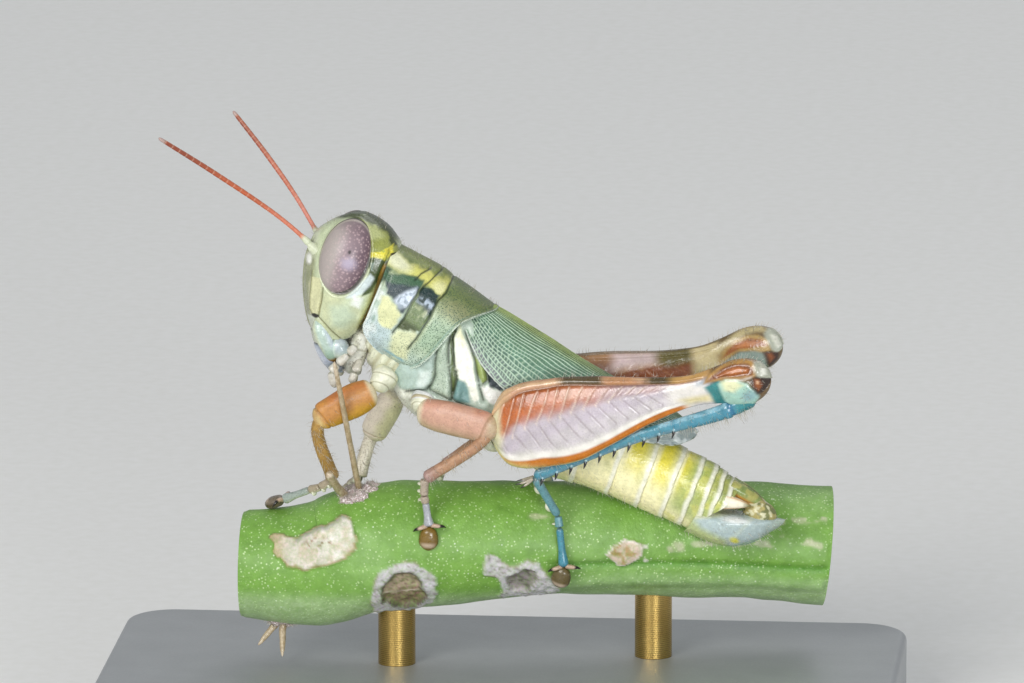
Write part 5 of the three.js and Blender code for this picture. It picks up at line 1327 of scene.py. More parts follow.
def hind_place(x, y, z, side):
    """A point of a hind leg in its place, lower on the right leg except at its root."""
    return x, y, z - (RIGHT_DROP * min(1, max(0, x / 3)) if side > 0 else 0)


FACE_TOP = [[0.04, 0.67], [0.08, 0.74], [0.13, 0.81], [0.2, 0.83], [0.29, 0.85], [0.43, 0.77], [0.57, 0.74],
    [0.68, 0.67], [0.76, 0.64]]
FACE_AXIS = [[0.04, -0.4], [0.07, -0.31], [0.11, -0.03], [0.19, 0.1], [0.27, 0.17], [0.34, 0.21],
    [0.45, 0.28], [0.56, 0.31], [0.63, 0.37], [0.76, 0.4]]
WHITE_LINE = [[0, -0.78], [0.06, -0.77], [0.16, -0.69], [0.23, -0.72], [0.38, -0.76], [0.46, -0.72],
    [0.61, -0.64], [0.69, -0.66], [0.76, -0.7]]
RIBS = 23
# Knee and edge marks in (share along, level): outline, edge softness, colour, strength.
OUTER_MARKS = [
    ([(0.79, 1.1), (1.05, 1.1), (1.05, -1.1), (0.79, -1.1)], 0.02, "6b5330", 1),
    ([(-0.02, 1.1), (0.055, 1.1), (0.045, 0.3), (0.05, -0.3), (0.03, -1.1), (-0.02, -1.1)], 0.03, "dcd9b4",
        0.95),
    ([(-0.02, 1.1), (0.1, 1.1), (0.08, 0.7), (0.03, 0.55), (-0.02, 0.6)], 0.03, "c9a37c", 0.9),
    ([(0.02, -0.82), (0.07, -0.9), (0.2, -1.0), (0.3, -1.1), (0.02, -1.1)], 0.03, "ddd48f", 0.9),
    ([(0.64, 0.5), (0.79, 0.52), (0.79, -0.9), (0.7, -0.75), (0.64, -0.6)], 0.04, "dad5d0", 1),
    ([(0.68, -0.35), (0.79, -0.35), (0.79, -0.8), (0.7, -0.75)], 0.05, "d8c98c", 0.8),
    ([(0.74, 0.6), (0.8, 0.6), (0.8, 0.25), (0.75, 0.3)], 0.04, "7d95ad", 0.6),
    ([(0.66, 1.05), (0.8, 1.05), (0.8, 0.6), (0.66, 0.66)], 0.04, "b98f4e", 0.9),
    ([(0.775, 0.15), (0.83, 0.3), (0.85, -0.3), (0.84, -1.1), (0.79, -1.1), (0.785, -0.3)], 0.016, "2c7a7c",
        1),
    ([(0.775, 0.33), (0.78, 0.5), (0.8, 0.75), (0.83, 0.9), (0.87, 1.0), (0.91, 1.0), (0.945, 0.92),
            (0.965, 0.74), (0.965, 0.47),
            (0.955, 0.2), (0.92, 0.13), (0.89, 0.22), (0.86, 0.27), (0.82, 0.28)], 0.012, "a88048", 1),
    ([(0.79, 0.38), (0.81, 0.6), (0.85, 0.78), (0.89, 0.85), (0.93, 0.8), (0.955, 0.6), (0.945, 0.33),
            (0.89, 0.33), (0.85, 0.38)],
        0.014, "6e3a18", 1),
    ([(0.83, 0.5), (0.86, 0.66), (0.9, 0.7), (0.935, 0.62), (0.93, 0.45), (0.88, 0.42)], 0.02, "b0652a", 0.9),
    ([(0.85, 0.28), (0.9, 0.2), (0.945, 0.28), (0.94, 0.16), (0.9, 0.12), (0.86, 0.2)], 0.01, "c9c4c0", 0.8),
    ([(0.82, 0.12), (0.85, 0.24), (0.89, 0.18), (0.92, 0.03), (0.935, -0.24), (0.955, -0.5), (0.955, -0.83),
            (0.93, -1.1), (0.85, -1.1), (0.83, -0.8), (0.825, -0.4)], 0.014, "9fc6b8", 1),
    # A painted highlight: the pale yellow-cream spot on the mint lobe.
    ([(0.835, 0.19), (0.86, 0.22), (0.89, 0.14), (0.91, -0.08), (0.87, -0.36), (0.84, -0.25)], 0.024,
        "e3e3b8", 0.95),
    ([(0.93, -0.3), (0.95, -0.5), (0.95, -0.75), (0.9, -0.85), (0.9, -0.5)], 0.03, "7d9fae", 0.7),
    ([(0.95, 0.85), (0.97, 1.1), (1.05, 1.1), (1.05, 0.1), (0.98, 0.02), (0.96, 0.14), (0.955, 0.5)], 0.012,
        "a9ab9c", 1),
    ([(0.968, 0.7), (0.985, 0.8), (0.99, 0.45), (0.975, 0.35)], 0.012, "e6e6dc", 0.9),
    ([(0.935, 0.12), (0.955, 0.26), (1.02, 0.1), (1.02, -0.62), (0.97, -0.72), (0.95, -0.6), (0.94, -0.28)],
        0.012, "2a170c", 1),
    ([(0.95, 0.16), (0.965, 0.12), (0.972, -0.3), (0.96, -0.5), (0.947, -0.2)], 0.014, "8a4a1c", 1),
    # A painted highlight on the glossy brown condyle.
    ([(0.957, 0.02), (0.963, 0.0), (0.962, -0.15), (0.955, -0.12)], 0.006, "d9b08a", 0.9),
]
INNER_MARKS = [
    ([(0.77, 1.1), (1.05, 1.1), (1.05, -1.1), (0.79, -1.1)], 0.02, "6b5838", 1),
    ([(0.75, 0.6), (0.8, 0.8), (0.87, 1.1), (0.94, 1.1), (0.95, 0.8), (0.88, 0.78), (0.82, 0.6),
            (0.78, 0.3)], 0.02, "b3a57c", 1),
    ([(-0.02, 1.1), (0.05, 1.1), (0.05, -1.1), (-0.02, -1.1)], 0.03, "d9d4ae", 0.9),
    ([(0.1, 0.9), (0.44, 0.82), (0.42, 0.1), (0.1, 0.1)], 0.06, "8f6450", 0.9),
    ([(0.43, 1.02), (0.6, 1.02), (0.57, 0.48), (0.41, 0.5)], 0.05, "d3bcbc", 1),
    ([(0.57, 1.1), (0.71, 1.1), (0.69, 0.2), (0.6, 0.25), (0.56, 0.45)], 0.05, "6a6032", 1),
    ([(0.69, 1.1), (0.78, 1.0), (0.78, -1.1), (0.67, -1.1)], 0.04, "cdbd90", 1),
    ([(0.77, -0.2), (0.79, 0.35), (0.81, 0.55), (0.84, 0.7), (0.88, 0.72), (0.92, 0.65), (0.955, 0.4),
            (0.96, 0.05), (0.95, -0.2),
            (0.92, -0.14), (0.89, 0.05), (0.84, 0.12), (0.79, -0.25)], 0.012, "a98a50", 1),
    ([(0.79, 0.0), (0.81, 0.35), (0.84, 0.55), (0.89, 0.58), (0.93, 0.45), (0.945, 0.12), (0.9, 0.16),
            (0.85, 0.22), (0.81, 0.05)],
        0.014, "8a4e1e", 1),
    ([(0.83, 0.36), (0.87, 0.48), (0.92, 0.36), (0.9, 0.24), (0.86, 0.28)], 0.02, "b5703a", 0.9),
    ([(0.94, 0.7), (0.96, 1.05), (1.05, 1.05), (1.05, -0.4), (0.97, -0.4), (0.955, 0.0)], 0.012, "a9ad9e", 1),
    ([(0.96, 0.7), (0.985, 0.8), (0.995, 0.0), (0.98, -0.1)], 0.014, "dcdcd0", 0.9),
    ([(0.79, -0.3), (0.85, 0.08), (0.9, 0.0), (0.93, -0.2), (0.95, -1.1), (0.79, -1.1)], 0.015, "7b8a82", 1),
    ([(0.925, -0.14), (0.95, -0.16), (0.985, -0.4), (0.98, -0.85), (0.94, -0.9), (0.935, -0.4)], 0.012,
        "33190c", 1),
    ([(0.94, -0.25), (0.955, -0.28), (0.965, -0.6), (0.95, -0.7)], 0.012, "8a4a1c", 0.9),
]
MARK_SCALE = 8  # a femur is about eight times as long as high, so levels shrink by this


def femur_patch(along, level, outline, soft):
    """1 inside an outline drawn in shares along a hind femur and levels on it."""
    return patch(along, level / MARK_SCALE, [(a, b / MARK_SCALE) for a, b in outline], soft)


hind_shell = cuticle("hind_shell", gloss=0.27, mottle=0.4, pit=0.006, coat=0.45, fleck="5a4038")
shin_shell = cuticle("shin_shell", gloss=0.26, mottle=0.3, pit=0.005, coat=0.5, fleck="2b5568")

femora = {}
for name in ("hind_left", "hind_right"):
    leg = LEGS[name]
    side = leg["side"]
    limb_piece(f"{name}_hip_skin", [coxa_limb(leg, 0.62, "hind")], soft_cuticle, [f"{name}_coxa"])

    femur = Limb([hind_place(x, -side * y, z, side) for x, y, z in HIND_LINE], HIND_SIZE, ends=(0.07, 0.07),
        power=2.0, rows=460 if side < 0 else 260, sides=150 if side < 0 else 120)
    s, h = femur.along, femur.level
    facing = side * femur.over
    outer = ramp(facing, -0.05, 0.1)
    femora[name] = femur
    face_top, axis, white_line = (through(line)(s) for line in (FACE_TOP, FACE_AXIS, WHITE_LINE))
    on_face = ramp(h - white_line, 0.06, 0.14) * ramp(face_top - h, 0.0, 0.06) * ramp(0.68 - s, 0.0,
        0.05) * ramp(s, 0.03, 0.06)
    above = np.clip((h - axis) / (face_top - axis), 0, 1)
    below = np.clip((axis - h) / 0.7, 0, 1)
    step = (s - 0.065 * above ** 0.8 - 0.045 * below) * RIBS
    off_rib = step - np.round(step)
    rib = np.exp(-(off_rib / 0.07) ** 2) * on_face * (0.5 + 0.5 * ramp(grain(femur.points, 0.18, 77), 0.3,
            0.6))
    groove = np.exp(-((off_rib - 0.15) / 0.09) ** 2) * on_face
    crescent, hollow, lobe, cheek, pivot = (femur_patch(s, h, OUTER_MARKS[k][0], 0.02) for k in (9, 11, 13,
            16, 18))
    keel_ridge = np.exp(-((h + 0.93) / 0.07) ** 2) * ramp(0.76 - s, 0, 0.05)
    femur.swell(0.018 * rib - 0.014 * groove + 0.02 * (grain(femur.points, 0.6, 67) - 0.5)
        - 0.05 * np.exp(-((h - face_top) / 0.04) ** 2) * ramp(0.78 - s, 0, 0.04)
        + 0.04 * np.exp(-((h - face_top - 0.1) / 0.05) ** 2) * ramp(0.78 - s, 0, 0.04)
        - 0.012 * np.exp(-((h - axis) / 0.06) ** 2) * on_face
        - 0.015 * np.exp(-((h - white_line - 0.1) / 0.05) ** 2) * ramp(0.76 - s, 0, 0.04) + 0.03 * keel_ridge
        + outer * (0.05 * crescent - 0.06 * hollow + 0.07 * lobe + 0.05 * cheek - 0.03 * pivot))
    femur.coat("bdb3bd")
    cloud = 0.3 * (grain(femur.points, 0.7, 26) - 0.5) + 0.15 * (grain(femur.points, 0.25, 68) - 0.5)
    femur.dab(ramp(h - axis + 0.7 * cloud, -0.1, 0.4), "a9776a")
    femur.dab(ramp(h - axis + cloud, 0.0, 0.4) * ramp(0.46 - s, 0.0, 0.14), "b8622c")
    femur.dab(ramp(h - face_top + 0.45 + cloud, 0.0, 0.3) * stripe(s - 0.2, 0.12, 0.1), "8f4712", 0.75)
    femur.dab(ramp(s + 0.3 * cloud, 0.36, 0.5) * ramp(h - axis, 0.0, 0.3), "9d868a", 0.85)
    femur.dab(stripe(s - 0.33, 0.05, 0.06) * stripe(h - 0.62, 0.14, 0.15), "c9a08c", 0.5)
    femur.dab(ramp(axis - 0.2 - h + cloud, 0.0, 0.35), "c9c2c6", 0.9)
    femur.dab(rib * ramp(h - axis, -0.12, 0.0), "ecd9c6", 0.6)
    femur.dab(groove * ramp(h - axis, 0.0, 0.08), "6b2f12", 0.25)
    femur.dab(groove * ramp(axis - h, 0.0, 0.08) * ramp(h, -0.55, -0.4), "857478", 0.45)
    femur.dab(ramp(white_line + 0.1 - h + 0.2 * cloud, -0.15, 0.1) * ramp(0.74 - s, 0, 0.05), "eeeae2")
    femur.dab(ramp(white_line - 0.05 - h, -0.03, 0.04) * ramp(0.72 - s, 0, 0.05), "c06f14")
    femur.dab(ramp(-0.965 - h, -0.02, 0.02) * ramp(0.72 - s, 0, 0.05), "e3cfa0", 0.8)
    flange = ramp(h - face_top, -0.04, 0.05) * ramp(0.8 - s, 0, 0.03)
    femur.dab(flange, "bd8f70")
    femur.dab(flange * ramp(cloud, -0.05, 0.15), "a9764c", 0.5)
    femur.dab(flange * stripe(h - 0.93, 0.03, 0.05), "d9b890", 0.7)
    femur.dab(flange * (stripe(s - 0.35 + 0.15 * cloud, 0.075, 0.05) + stripe(s - 0.635 + 0.15 * cloud,
                0.05, 0.04)), "43360f", 0.95)
    femur.dab(flange * stripe(s - 0.49, 0.05, 0.04), "b07a4c", 0.8)
    femur.dab(np.exp(-((h - face_top) / 0.025) ** 2) * ramp(0.78 - s, 0, 0.04), "6d3c12", 0.85)
    s_here, h_here = s + 0.02 * cloud, h + 0.3 * cloud
    for outline, soft, code, strength in OUTER_MARKS:
        femur.dab(femur_patch(s_here, h_here, outline, soft + 0.006), code, strength)
    rust = coat_of(femur.points, "b5875a")
    dab(rust, ramp(0.45 - h + cloud, -0.1, 0.1), "84451f")
    dab(rust, ramp(-0.5 - h, -0.1, 0.1), "c98a5a", 0.8)
    dab(rust, rib, "c9996c", 0.35)
    for outline, soft, code, strength in INNER_MARKS:
        dab(rust, femur_patch(s_here, h_here, outline, soft + 0.006), code, strength)
    dab(rust, ramp(h, 0.9, 0.97) * ramp(0.8 - s, 0, 0.03), "5a4e34", 0.75)
    femur.paint = femur.paint + (rust - femur.paint) * (1 - outer)[..., None]
    femur.fleck = 0.12 * on_face
    limb_piece(f"{name}_femur_shell", [femur], hind_shell, [f"{name}_femur"])
    fringe = ramp(h, 0.8, 1.0) * (0.35 + 0.65 * ramp(s, 0.7, 0.8)) + ramp(s, 0.82,
        0.9) * 0.4 + 0.7 * ramp(-h, 0.85, 0.97) * ramp(0.3 - s, 0, 0.2)
    hairs(f"{name}_femur_hairs", [femur.points], [fringe], 260, (0.15, 0.36), (0.35, 0, 0.15),
        [f"{name}_femur"], 87, thick=0.008)

    shin_line = [hind_place(10.45, side * 3.5, 15.03, side), hind_place(9.25, side * 3.42, 14.43, side),
        hind_place(5.87, side * 3.4 + 0.45 * (leg["ankle"][1] - side * 3.4), 13.22, side), leg["ankle"]]
    tibia = Limb(shin_line, [[0, 0.34, 0.28], [0.1, 0.32, 0.26], [0.2, 0.3, 0.23], [0.4, 0.25, 0.2],
            [0.7, 0.22, 0.19], [1, 0.25, 0.24]],
        ends=(0.03, 0.03), rows=200, sides=40)
    t = tibia.along
    tibia.swell(0.03 * stripe(t - 0.125, 0.012, 0.015) - 0.02 * stripe(t - 0.105, 0.008, 0.01))
    tibia.coat("4a8ba0")
    # A painted highlight: the shin is paler, in broken patches, along its upper side.
    tibia.dab(ramp(tibia.level, 0.3, 0.8) * ramp(grain(tibia.points, 0.4, 78), 0.2, 0.5), "a3cbdb", 0.75)
    tibia.dab(ramp(0.12 - t, 0.0, 0.06), "2f7f86")
    tibia.dab(stripe(t - 0.105, 0.01, 0.015), "1f5f86", 0.9)
    tibia.dab(ramp(grain(tibia.points, 0.3, 27), 0.5, 0.8), "37809c", 0.5)
    tibia.dab(ramp(-tibia.level, 0.2, 0.8) * ramp(t, 0.25, 0.4), "8aa2b0", 0.5)
    tibia.fleck = 0.2 + 0 * t
    spines = []
    for row, long in ((-side, 0.26), (side, 0.4)):
        for k in range(10):
            root = along_line(shin_line, [0.36 + 0.6 * (k - 0.25 * (long < 0.3)) / 9])[0][0] + (0,
                row * 0.12, -0.08)
            spine = Limb([root, root + (-0.03, row * 0.06, -0.5 * long), root + (-0.09, row * 0.12, -long)],
                [[0, 0.085, 0.085], [0.5, 0.06, 0.06], [1, 0.008, 0.008]], up=(1, 0, 0), ends=(0.05, 0.01),
                rows=20, sides=12)
            spine.coat("7fa9b6").dab(ramp(spine.along, 0.2, 0.36), "120f10")
            spines.append(spine)
    for row in (-1, 1):
        for reach, drop in ((0.7, 0.22), (0.5, 0.36)):
            root = np.array(leg["ankle"]) + (-0.05, row * 0.16, -0.05)
            spur = Limb([root, root + (-0.5 * reach, row * 0.16, -0.6 * drop),
                    root + (-reach, row * 0.2, -drop)],
                [[0, 0.075, 0.075], [0.6, 0.05, 0.05], [1, 0.008, 0.008]], up=(0, 1, 0), ends=(0.05, 0.01),
                rows=20, sides=12)
            spur.coat("a89f8e").dab(ramp(spur.along, 0.62, 0.75), "17110f")
            spines.append(spur)
    limb_piece(f"{name}_tibia_shell", [tibia, *spines], shin_shell, [f"{name}_tibia"])
    shaggy = 0.15 + ramp(-tibia.level, 0.0, 0.8) * ramp(0.45 - t, 0, 0.3)
    hairs(f"{name}_tibia_hairs", [tibia.points], [shaggy], 240, (0.2, 0.55), (0.3, 0, -0.5),
        [f"{name}_tibia"], 88, thick=0.008)
    limb_piece(f"{name}_foot", foot_limbs(leg, LEG_TINTS["hind"]), tarsus_shell, [f"{name}_tarsus"])


# ---- Perch: a cut length of slender green cactus stem, finely speckled, corky round its areoles.
# The upper areole is a tuft of wool with one long straw-coloured spine and a stub; two spines hang below.

STEM_LINE = [(-10.4, 0.1, 7.0), (-8.0, 0.12, 6.98), (-6.8, 0.15, 7.15), (-5.6, 0.2, 7.58), (-4.0, 0.3, 7.85),
    (-2.45, 0.45, 7.95), (0, 0.8, 8.06), (2.3, 1.25, 8.06), (4.65, 1.95, 7.9), (7.0, 2.75, 7.74),
    (9.35, 3.4, 7.58), (11.0, 3.7, 7.5), (12.9, 3.95, 7.33)]
STEM_SIZE = [[0, 2.1, 2.1], [0.1, 2.36, 2.36], [0.2, 2.58, 2.55], [0.34, 2.5, 2.48], [0.45, 2.32, 2.32],
    [0.55, 2.25, 2.26], [0.75, 2.3, 2.3], [1, 2.42, 2.42]]
stem = Limb(STEM_LINE, STEM_SIZE, ends=(0, 0), power=2.0, rows=330, sides=180)
X, Y, Z = np.moveaxis(stem.points, -1, 0)
near_side = ramp(0.9 * stem.along * 3.6 + 0.3 - Y, 0.0, 0.8)
wander = 0.25 * (grain(stem.points, 0.6, 28) - 0.5) + 0.12 * (grain(stem.points, 0.2, 29) - 0.5)
x, z = X + wander, Z + wander
SCARS = {
    "left": [(-9.18, 8.44), (-9.03, 8.54), (-8.0, 8.5), (-7.35, 8.82), (-6.75, 9.0), (-6.22, 9.35),
        (-5.97, 9.33), (-5.62, 8.75), (-5.51, 8.35), (-5.91, 7.98), (-6.8, 7.55), (-7.58, 7.38),
        (-8.34, 7.55), (-8.83, 8.0)],
    "round": [(-5.01, 6.62), (-4.67, 7.32), (-3.96, 7.69), (-3.26, 7.69), (-2.5, 7.13), (-2.26, 6.52),
        (-2.54, 5.97), (-3.35, 5.59), (-4.98, 5.27), (-5.05, 5.97)],
    "ragged": [(-0.52, 7.9), (-0.28, 8.04), (0.16, 7.68), (0.58, 7.57), (1.08, 7.64), (1.6, 7.59),
        (1.93, 7.35), (2.02, 7.08), (2.17, 6.59), (2.48, 6.34), (1.86, 6.17), (0.88, 6.04), (0.09, 6.09),
        (0.07, 6.68), (-0.16, 7.0), (-0.49, 7.31)],
    "small": [(4.41, 7.91), (4.61, 8.2), (4.94, 8.36), (5.32, 8.33), (5.65, 8.19), (5.7, 7.7), (5.4, 7.43),
        (4.88, 7.3), (4.52, 7.5)],
}
CORES = {
    "round": [(-4.62, 6.62), (-4.13, 7.23), (-3.45, 7.25), (-2.91, 6.79), (-2.75, 6.31), (-3.21, 5.84),
        (-4.07, 5.76), (-4.61, 6.06)],
    "ragged": [(0.41, 7.14), (0.91, 7.33), (1.5, 7.29), (1.66, 6.97), (1.22, 6.43), (0.5, 6.41)],
}
on_scar = {word: patch(x, z, outline, 0.07) * near_side for word, outline in SCARS.items()}
in_core = {word: patch(x, z, outline, 0.12) * near_side for word, outline in CORES.items()}
scar, core = sum(on_scar.values()), sum(in_core.values())
scar_rim = sum(stripe(to_line(x, z, outline + outline[:1]), 0.03, 0.1)
    for outline in SCARS.values()) * near_side
core_rim = sum(stripe(to_line(x, z, outline + outline[:1]), 0.07, 0.12)
    for outline in CORES.values()) * near_side
DARK_BAND = [(1.0, 7.6), (2.47, 7.46), (4.82, 7.36), (7.94, 7.19), (10.3, 7.01), (13.0, 6.9)]
PALE_RIDGE = [(1.5, 6.6), (4.81, 6.64), (7.97, 6.48), (13.0, 6.2)]
band = stripe(to_line(X, Z, DARK_BAND), 0.12, 0.35) * ramp(X, 1.5, 3) * near_side * (1 - scar)
ridge = stripe(to_line(X, Z, PALE_RIDGE), 0.25, 0.5) * ramp(X, 1.8, 3) * near_side
relief = 0.2 * (grain(stem.points, 2.4, 30) - 0.5) + 0.06 * (grain(stem.points, 0.8, 31) - 0.5) + 0.08 * scar
relief = relief + 0.09 * scar * (grain(stem.points, 0.25, 32)
    - 0.5) + 0.05 * scar_rim - 0.2 * core + 0.08 * core_rim
relief = relief + 0.12 * ridge - 0.12 * band + 0.06 * (scar + core) * (grain(stem.points, 0.12, 69) - 0.5)
ends_in = ramp(stem.along, 0.0, 0.01) * ramp(1 - stem.along, 0.0, 0.01)
stem.swell(relief * ends_in)
stem.coat("78a545")
cloud = grain(stem.points, 1.1, 33)
stem.dab(ramp(cloud, 0.35, 0.75), "6d9a3c", 0.7)
stem.dab(ramp(grain(stem.points, 2.5, 34), 0.45, 0.8), "93b871", 0.6)
# Painted light: the stem is paler towards the bottom, lifting the shade beneath it.
stem.dab(ramp(6.6 - Z, 0, 0.8), "b2c99c", 0.75)
stem.dab(ridge, "9dba84", 0.8)
stem.dab(band, "4d8a28", 0.8)
SCRAPES = [[(6.9, 8.0), (8.72, 8.12), (10.35, 7.98), (11.91, 8.14), (12.73, 7.83)],
    [(11.3, 8.85), (12.9, 8.9)], [(1.4, 9.4), (1.9, 9.5)]]
for line in SCRAPES:
    scrape = stripe(to_line(x, z, line), 0.14, 0.16) * near_side * ramp(grain(stem.points, 0.28, 35), 0.25,
        0.5)
    stem.dab(scrape, "c6c5a8", 0.9)
stem.dab(stripe(to_line(x, z, SCARS["left"][:8]), 0.06, 0.14) * near_side, "4d5a30", 0.8)
stem.dab(scar, "d3ccd6")
stem.dab(scar * ramp(grain(stem.points, 0.3, 36), 0.45, 0.8), "bdb2ba", 0.5)
stem.dab((scar - on_scar["left"]) * ramp(grain(stem.points, 0.09, 70), 0.62, 0.75), "75675f", 0.6)
stem.dab(scar_rim * ramp(grain(stem.points, 0.3, 71), 0.4, 0.7), "8f7a5c", 0.6)
left_scar = on_scar["left"]
stem.dab(left_scar, "d6cbc3")
stem.dab(left_scar * spot(x, z, (-6.4, 8.5), (0.75, 0.75), 0, 0.5), "ece4de", 0.9)
stem.dab(left_scar * ramp(grain(stem.points, 0.3, 93), 0.5, 0.75), "c9b398", 0.5)
# Painted shade: a grey band on the slope along the scar's upper edge.
stem.dab(left_scar * stripe(to_line(x, z, SCARS["left"][2:7]), 0.14, 0.16), "8f8f86", 0.85)
stem.dab(left_scar * stripe(to_line(x, z, SCARS["left"][7:10]), 0.08, 0.16), "b09a68", 0.8)
stem.dab(left_scar * ramp(-X, 8.2, 8.9), "bda07c", 0.7)
stem.dab(stripe(to_line(x, z, SCARS["left"] + SCARS["left"][:1]), 0.03, 0.06) * near_side, "a98f5e", 0.7)
stem.dab(left_scar * spot(x, z, (-7.1, 8.35), (0.65, 0.16), 12, 0.5) * ramp(grain(stem.points, 0.1, 72),
        0.55, 0.65), "8a5138", 0.85)
stem.dab(on_scar["small"], "d9bfae", 0.9)
stem.dab(on_scar["small"] * ramp(grain(stem.points, 0.2, 73), 0.55, 0.7), "a98238", 0.8)
stem.dab(on_scar["small"] * stripe(to_line(x, z, SCARS["small"]), 0.06, 0.1), "f0e8e6", 0.8)
round_core, ragged_core = in_core["round"], in_core["ragged"]
stem.dab(ragged_core, "938389", 0.9)
stem.dab(ragged_core * ramp(grain(stem.points, 0.1, 74), 0.55, 0.7), "5f5152", 0.8)
stem.dab(round_core, "b39a8b")
stem.dab(round_core * ramp(-Z + 0.8 * grain(stem.points * (1, 1, 2.5), 0.3, 37), -6.35, -5.8), "7d6052", 0.85)
stem.dab(round_core * ramp(grain(stem.points * (1, 1, 3), 0.12, 94), 0.55, 0.7), "634839", 0.7)
stem.dab(round_core * stripe(Z - 6.62 - 0.05 * X, 0.03, 0.06), "dccbbd", 0.7)
stem.dab(np.exp(-(to_line(x, z, CORES["round"] + CORES["round"][:1]) / 0.07) ** 2) * near_side, "45352e",
    0.85)
for lump in ((5.82, 8.06), (5.88, 7.46)):
    stem.dab(spot(X, Z, lump, (0.1, 0.09), 0, 0.3) * near_side, "eee6e2")
stem.fleck = (1 - scar) * (0.45 + 0.55 * ramp(grain(stem.points, 0.9, 38), 0.3, 0.7))

stem_finish = Finish("cactus_skin", Coat_Weight=0.12, Coat_Roughness=0.3, Subsurface_Weight=0.12,
    Subsurface_Scale=0.6 * MM)
stem_finish.shader.inputs["Subsurface Radius"].default_value = (0.7, 1.0, 0.3)
stem_paint = stem_finish.layer("paint", "Color")
stem_marks = stem_finish.layer("fleck", "Fac")
stem_shade = stem_finish.mix(stem_finish.spread(stem_finish.noise(0.5, 4), 0.35, 0.7, 0.0, 0.35), stem_paint,
    solid_tint("7f9a5a"), "MULTIPLY")
grainy = stem_finish.spread(stem_finish.noise(0.13, 3), 0.35, 0.65, 0.0, 0.35)
stem_shade = stem_finish.mix(grainy, stem_shade, solid_tint("6f9c3c"))
fine_dots = stem_finish.spread(stem_finish.dots(0.15), 0.08, 0.32, 0.75, 0.0)
big_dots = stem_finish.spread(stem_finish.dots(0.36), 0.04, 0.13, 0.7, 0.0)
gate = stem_finish.spread(stem_finish.noise(0.22, 2), 0.3, 0.5)
speck = stem_finish.times(stem_finish.times(fine_dots, gate), stem_marks)
speckled = stem_finish.mix(speck, stem_shade, solid_tint("cfe6ae"))
speckled = stem_finish.mix(stem_finish.times(big_dots, stem_marks), speckled, solid_tint("e2f0d4"))
stem_finish.wire(stem_finish.shader, Base_Color=speckled,
    Roughness=stem_finish.spread(stem_finish.noise(0.3, 3), 0.3, 0.7, 0.42, 0.6),
    Normal=stem_finish.bump(stem_finish.noise(0.12, 4), 0.03))
limb_piece("cactus_stem", [stem], stem_finish.material, ["perch_stem"])

# Areole wool: crumbly felted lumps, with stiff straw-coloured spines growing out of it.
wool_finish = Finish("areole_wool", Roughness=0.9)
felt = wool_finish.spread(wool_finish.noise(0.06, 4), 0.4, 0.62)
wool_colour = wool_finish.mix(felt, solid_tint("f0e6e6"), solid_tint("b39a98"))
wool_finish.wire(wool_finish.shader, Base_Color=wool_colour, Normal=wool_finish.bump(felt, 0.03))
WOOL = [  # middle, half sizes
    ((-5.65, -0.3, 10.1), (0.5, 0.45, 0.32)), ((-6.1, -0.35, 9.98), (0.38, 0.4, 0.28)),
    ((-5.2, -0.3, 10.16), (0.36, 0.36, 0.26)),
    ((-5.55, -0.8, 9.98), (0.4, 0.36, 0.28)), ((-6.0, -0.82, 9.85), (0.36, 0.34, 0.27)),
    ((-5.15, 0.1, 10.2), (0.3, 0.3, 0.22)),
    ((-5.8, 0.15, 10.12), (0.42, 0.3, 0.25)), ((-8.8, 0.1, 4.93), (0.7, 0.6, 0.42)),
]
lumps = []
for k, (middle, half) in enumerate(WOOL):
    lump = ball(middle, half, rows=64, sides=76)
    lump = lump + outward(lump) * (0.22 * (grain(lump, 0.2, 40 + k) - 0.45) + 0.1 * (grain(lump, 0.08,
                50 + k) - 0.5))[..., None]
    lumps.append(lump)
piece("areole_wool", lumps, wool_finish.material, ["perch_stem"])
hairs("areole_hairs", lumps, [0 * lump[..., 0] + 1 for lump in lumps], 2600, (0.06, 0.2), (0, 0, 0.15),
    ["perch_stem"], 90)

spine_finish = Finish("cactus_spine", Coat_Weight=0.3)
fibres = spine_finish.noise(0.09, 3)
spine_paint = spine_finish.layer("paint", "Color")
spine_finish.wire(spine_finish.shader, Base_Color=spine_finish.mix(spine_finish.spread(fibres, 0.3, 0.7,
            0.0, 0.5), spine_paint,
        solid_tint("8b7a5a"), "MULTIPLY"),
    Roughness=spine_finish.spread(fibres, 0.3, 0.7, 0.35, 0.55), Normal=spine_finish.bump(fibres, 0.008))
SPINES = [  # line of the spine from its root to its tip, and half widths at both ends
    ([(-5.62, -0.3, 10.05), (-5.92, -1.95, 12.9), (-6.32, -3.4, 16.15)], 0.13, 0.085),
    ([(-6.15, -0.4, 9.95), (-6.45, -1.5, 10.65), (-6.68, -2.35, 11.35)], 0.18, 0.15),
    ([(-8.8, 0.1, 4.9), (-9.75, -0.35, 3.75)], 0.17, 0.04),
    ([(-8.8, 0.1, 4.9), (-8.75, -0.55, 3.35)], 0.17, 0.04),
]
spines = []
for line, root, tip in SPINES:
    spine = Limb(line, [[0, root, root], [0.75, 0.5 * (root + tip), 0.5 * (root + tip)], [1, tip, tip]],
        up=(0, 1, 0), ends=(0.05, 0.06), power=2.0, rows=110, sides=24)
    spine.coat("bcab8c").dab(ramp(-spine.along, -0.2, 0.0), "9a8a68").dab(ramp(spine.along, 0.8, 1.0),
        "d9cbb4")
    spine.dab(ramp(grain(spine.points, 0.15, 79), 0.5, 0.7), "a08a62", 0.6)
    spine.swell(0.02 * (grain(spine.points, 0.12, 80) - 0.5))
    spines.append(spine)
limb_piece("cactus_spines", spines, spine_finish.material, ["perch_stem"])


# ---- Stand: a flat rounded base of pale satin aluminium and two brass rods whose tops run into the stem.

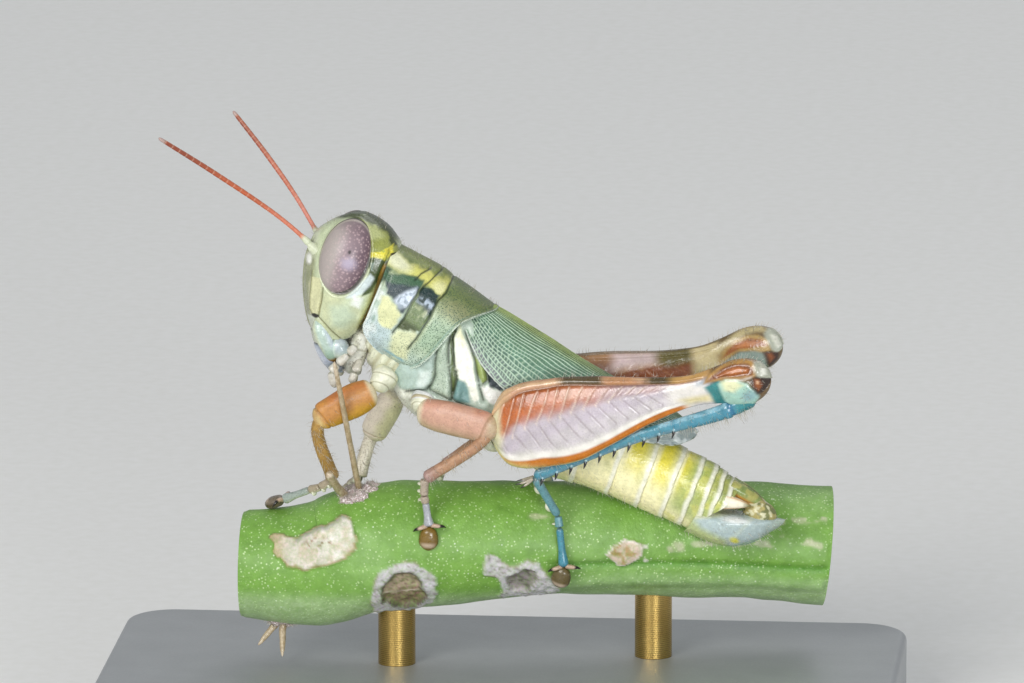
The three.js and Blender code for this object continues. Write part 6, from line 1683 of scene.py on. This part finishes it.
def rounded_plate(length, width, thickness, corner, edge):
    """Points of a rounded slab from its under side to its upper side, with softened edges."""
    angle = np.linspace(0, TAU, 240, endpoint=False)
    straight = np.array((length / 2 - corner, width / 2 - corner))
    turn = np.linspace(0, math.pi / 2, 7)
    inset = np.concatenate([edge * (1 - np.sin(turn)), edge * (1 - np.cos(turn))])
    level = np.concatenate([edge * (1 - np.cos(turn)), thickness - edge * (1 - np.sin(turn))])
    inset = np.concatenate([[length], inset, [length]])
    level = np.concatenate([[0], level, [thickness]])
    grid = []
    for inward, height in zip(inset, level):
        round_corner = max(corner - inward, 0.02)
        centre = straight if inward < corner else straight * 0.02
        c, s = np.cos(angle), np.sin(angle)
        grid.append(np.stack([np.sign(c) * centre[0] + round_corner * c,
                    np.sign(s) * centre[1] + round_corner * s, height + 0 * c], -1))
    return np.array(grid)


plate = rounded_plate(32, 18, 3, 2, 0.3)
plate_finish = Finish("satin_plate", Metallic=0.5)
brushed = plate_finish.noise(0.08, 3)
plate_colour = plate_finish.mix(plate_finish.noise(1.5, 3), solid_tint("b4b7b9"), solid_tint("a7aaac"))
plate_finish.wire(plate_finish.shader, Base_Color=plate_colour,
    Roughness=plate_finish.spread(brushed, 0.3, 0.7, 0.42, 0.55), Normal=plate_finish.bump(brushed, 0.004))
piece("base_plate", [plate], plate_finish.material, ["stand_base"])

rod_finish = Finish("turned_brass", Metallic=1.0)
rings = rod_finish.add("TexWave", Vector=rod_finish.place, Scale=1 / (0.04 * MM) / 6.3, bands_direction="Z",
    Distortion=1.5, Detail=2).outputs["Fac"]
rod_colour = rod_finish.mix(rod_finish.noise(0.7, 3), solid_tint("c4a968"), solid_tint("a98a4c"))
rod_finish.wire(rod_finish.shader, Base_Color=rod_colour, Roughness=rod_finish.spread(rings, 0.0, 1.0, 0.24,
        0.38),
    Normal=rod_finish.bump(rings, 0.0015))
for word, x, y in (("front", -4.2, 0.28), ("rear", 6.0, 2.4)):
    rod = Limb([(x, y, 3.0), (x, y, 6.6)], [[0, 0.75, 0.75], [1, 0.75, 0.75]], up=(0, 1, 0), ends=(0, 0),
        power=2.0, rows=60, sides=64)
    piece(f"rod_{word}", [rod.points], rod_finish.material, [f"stand_rod_{word}"])
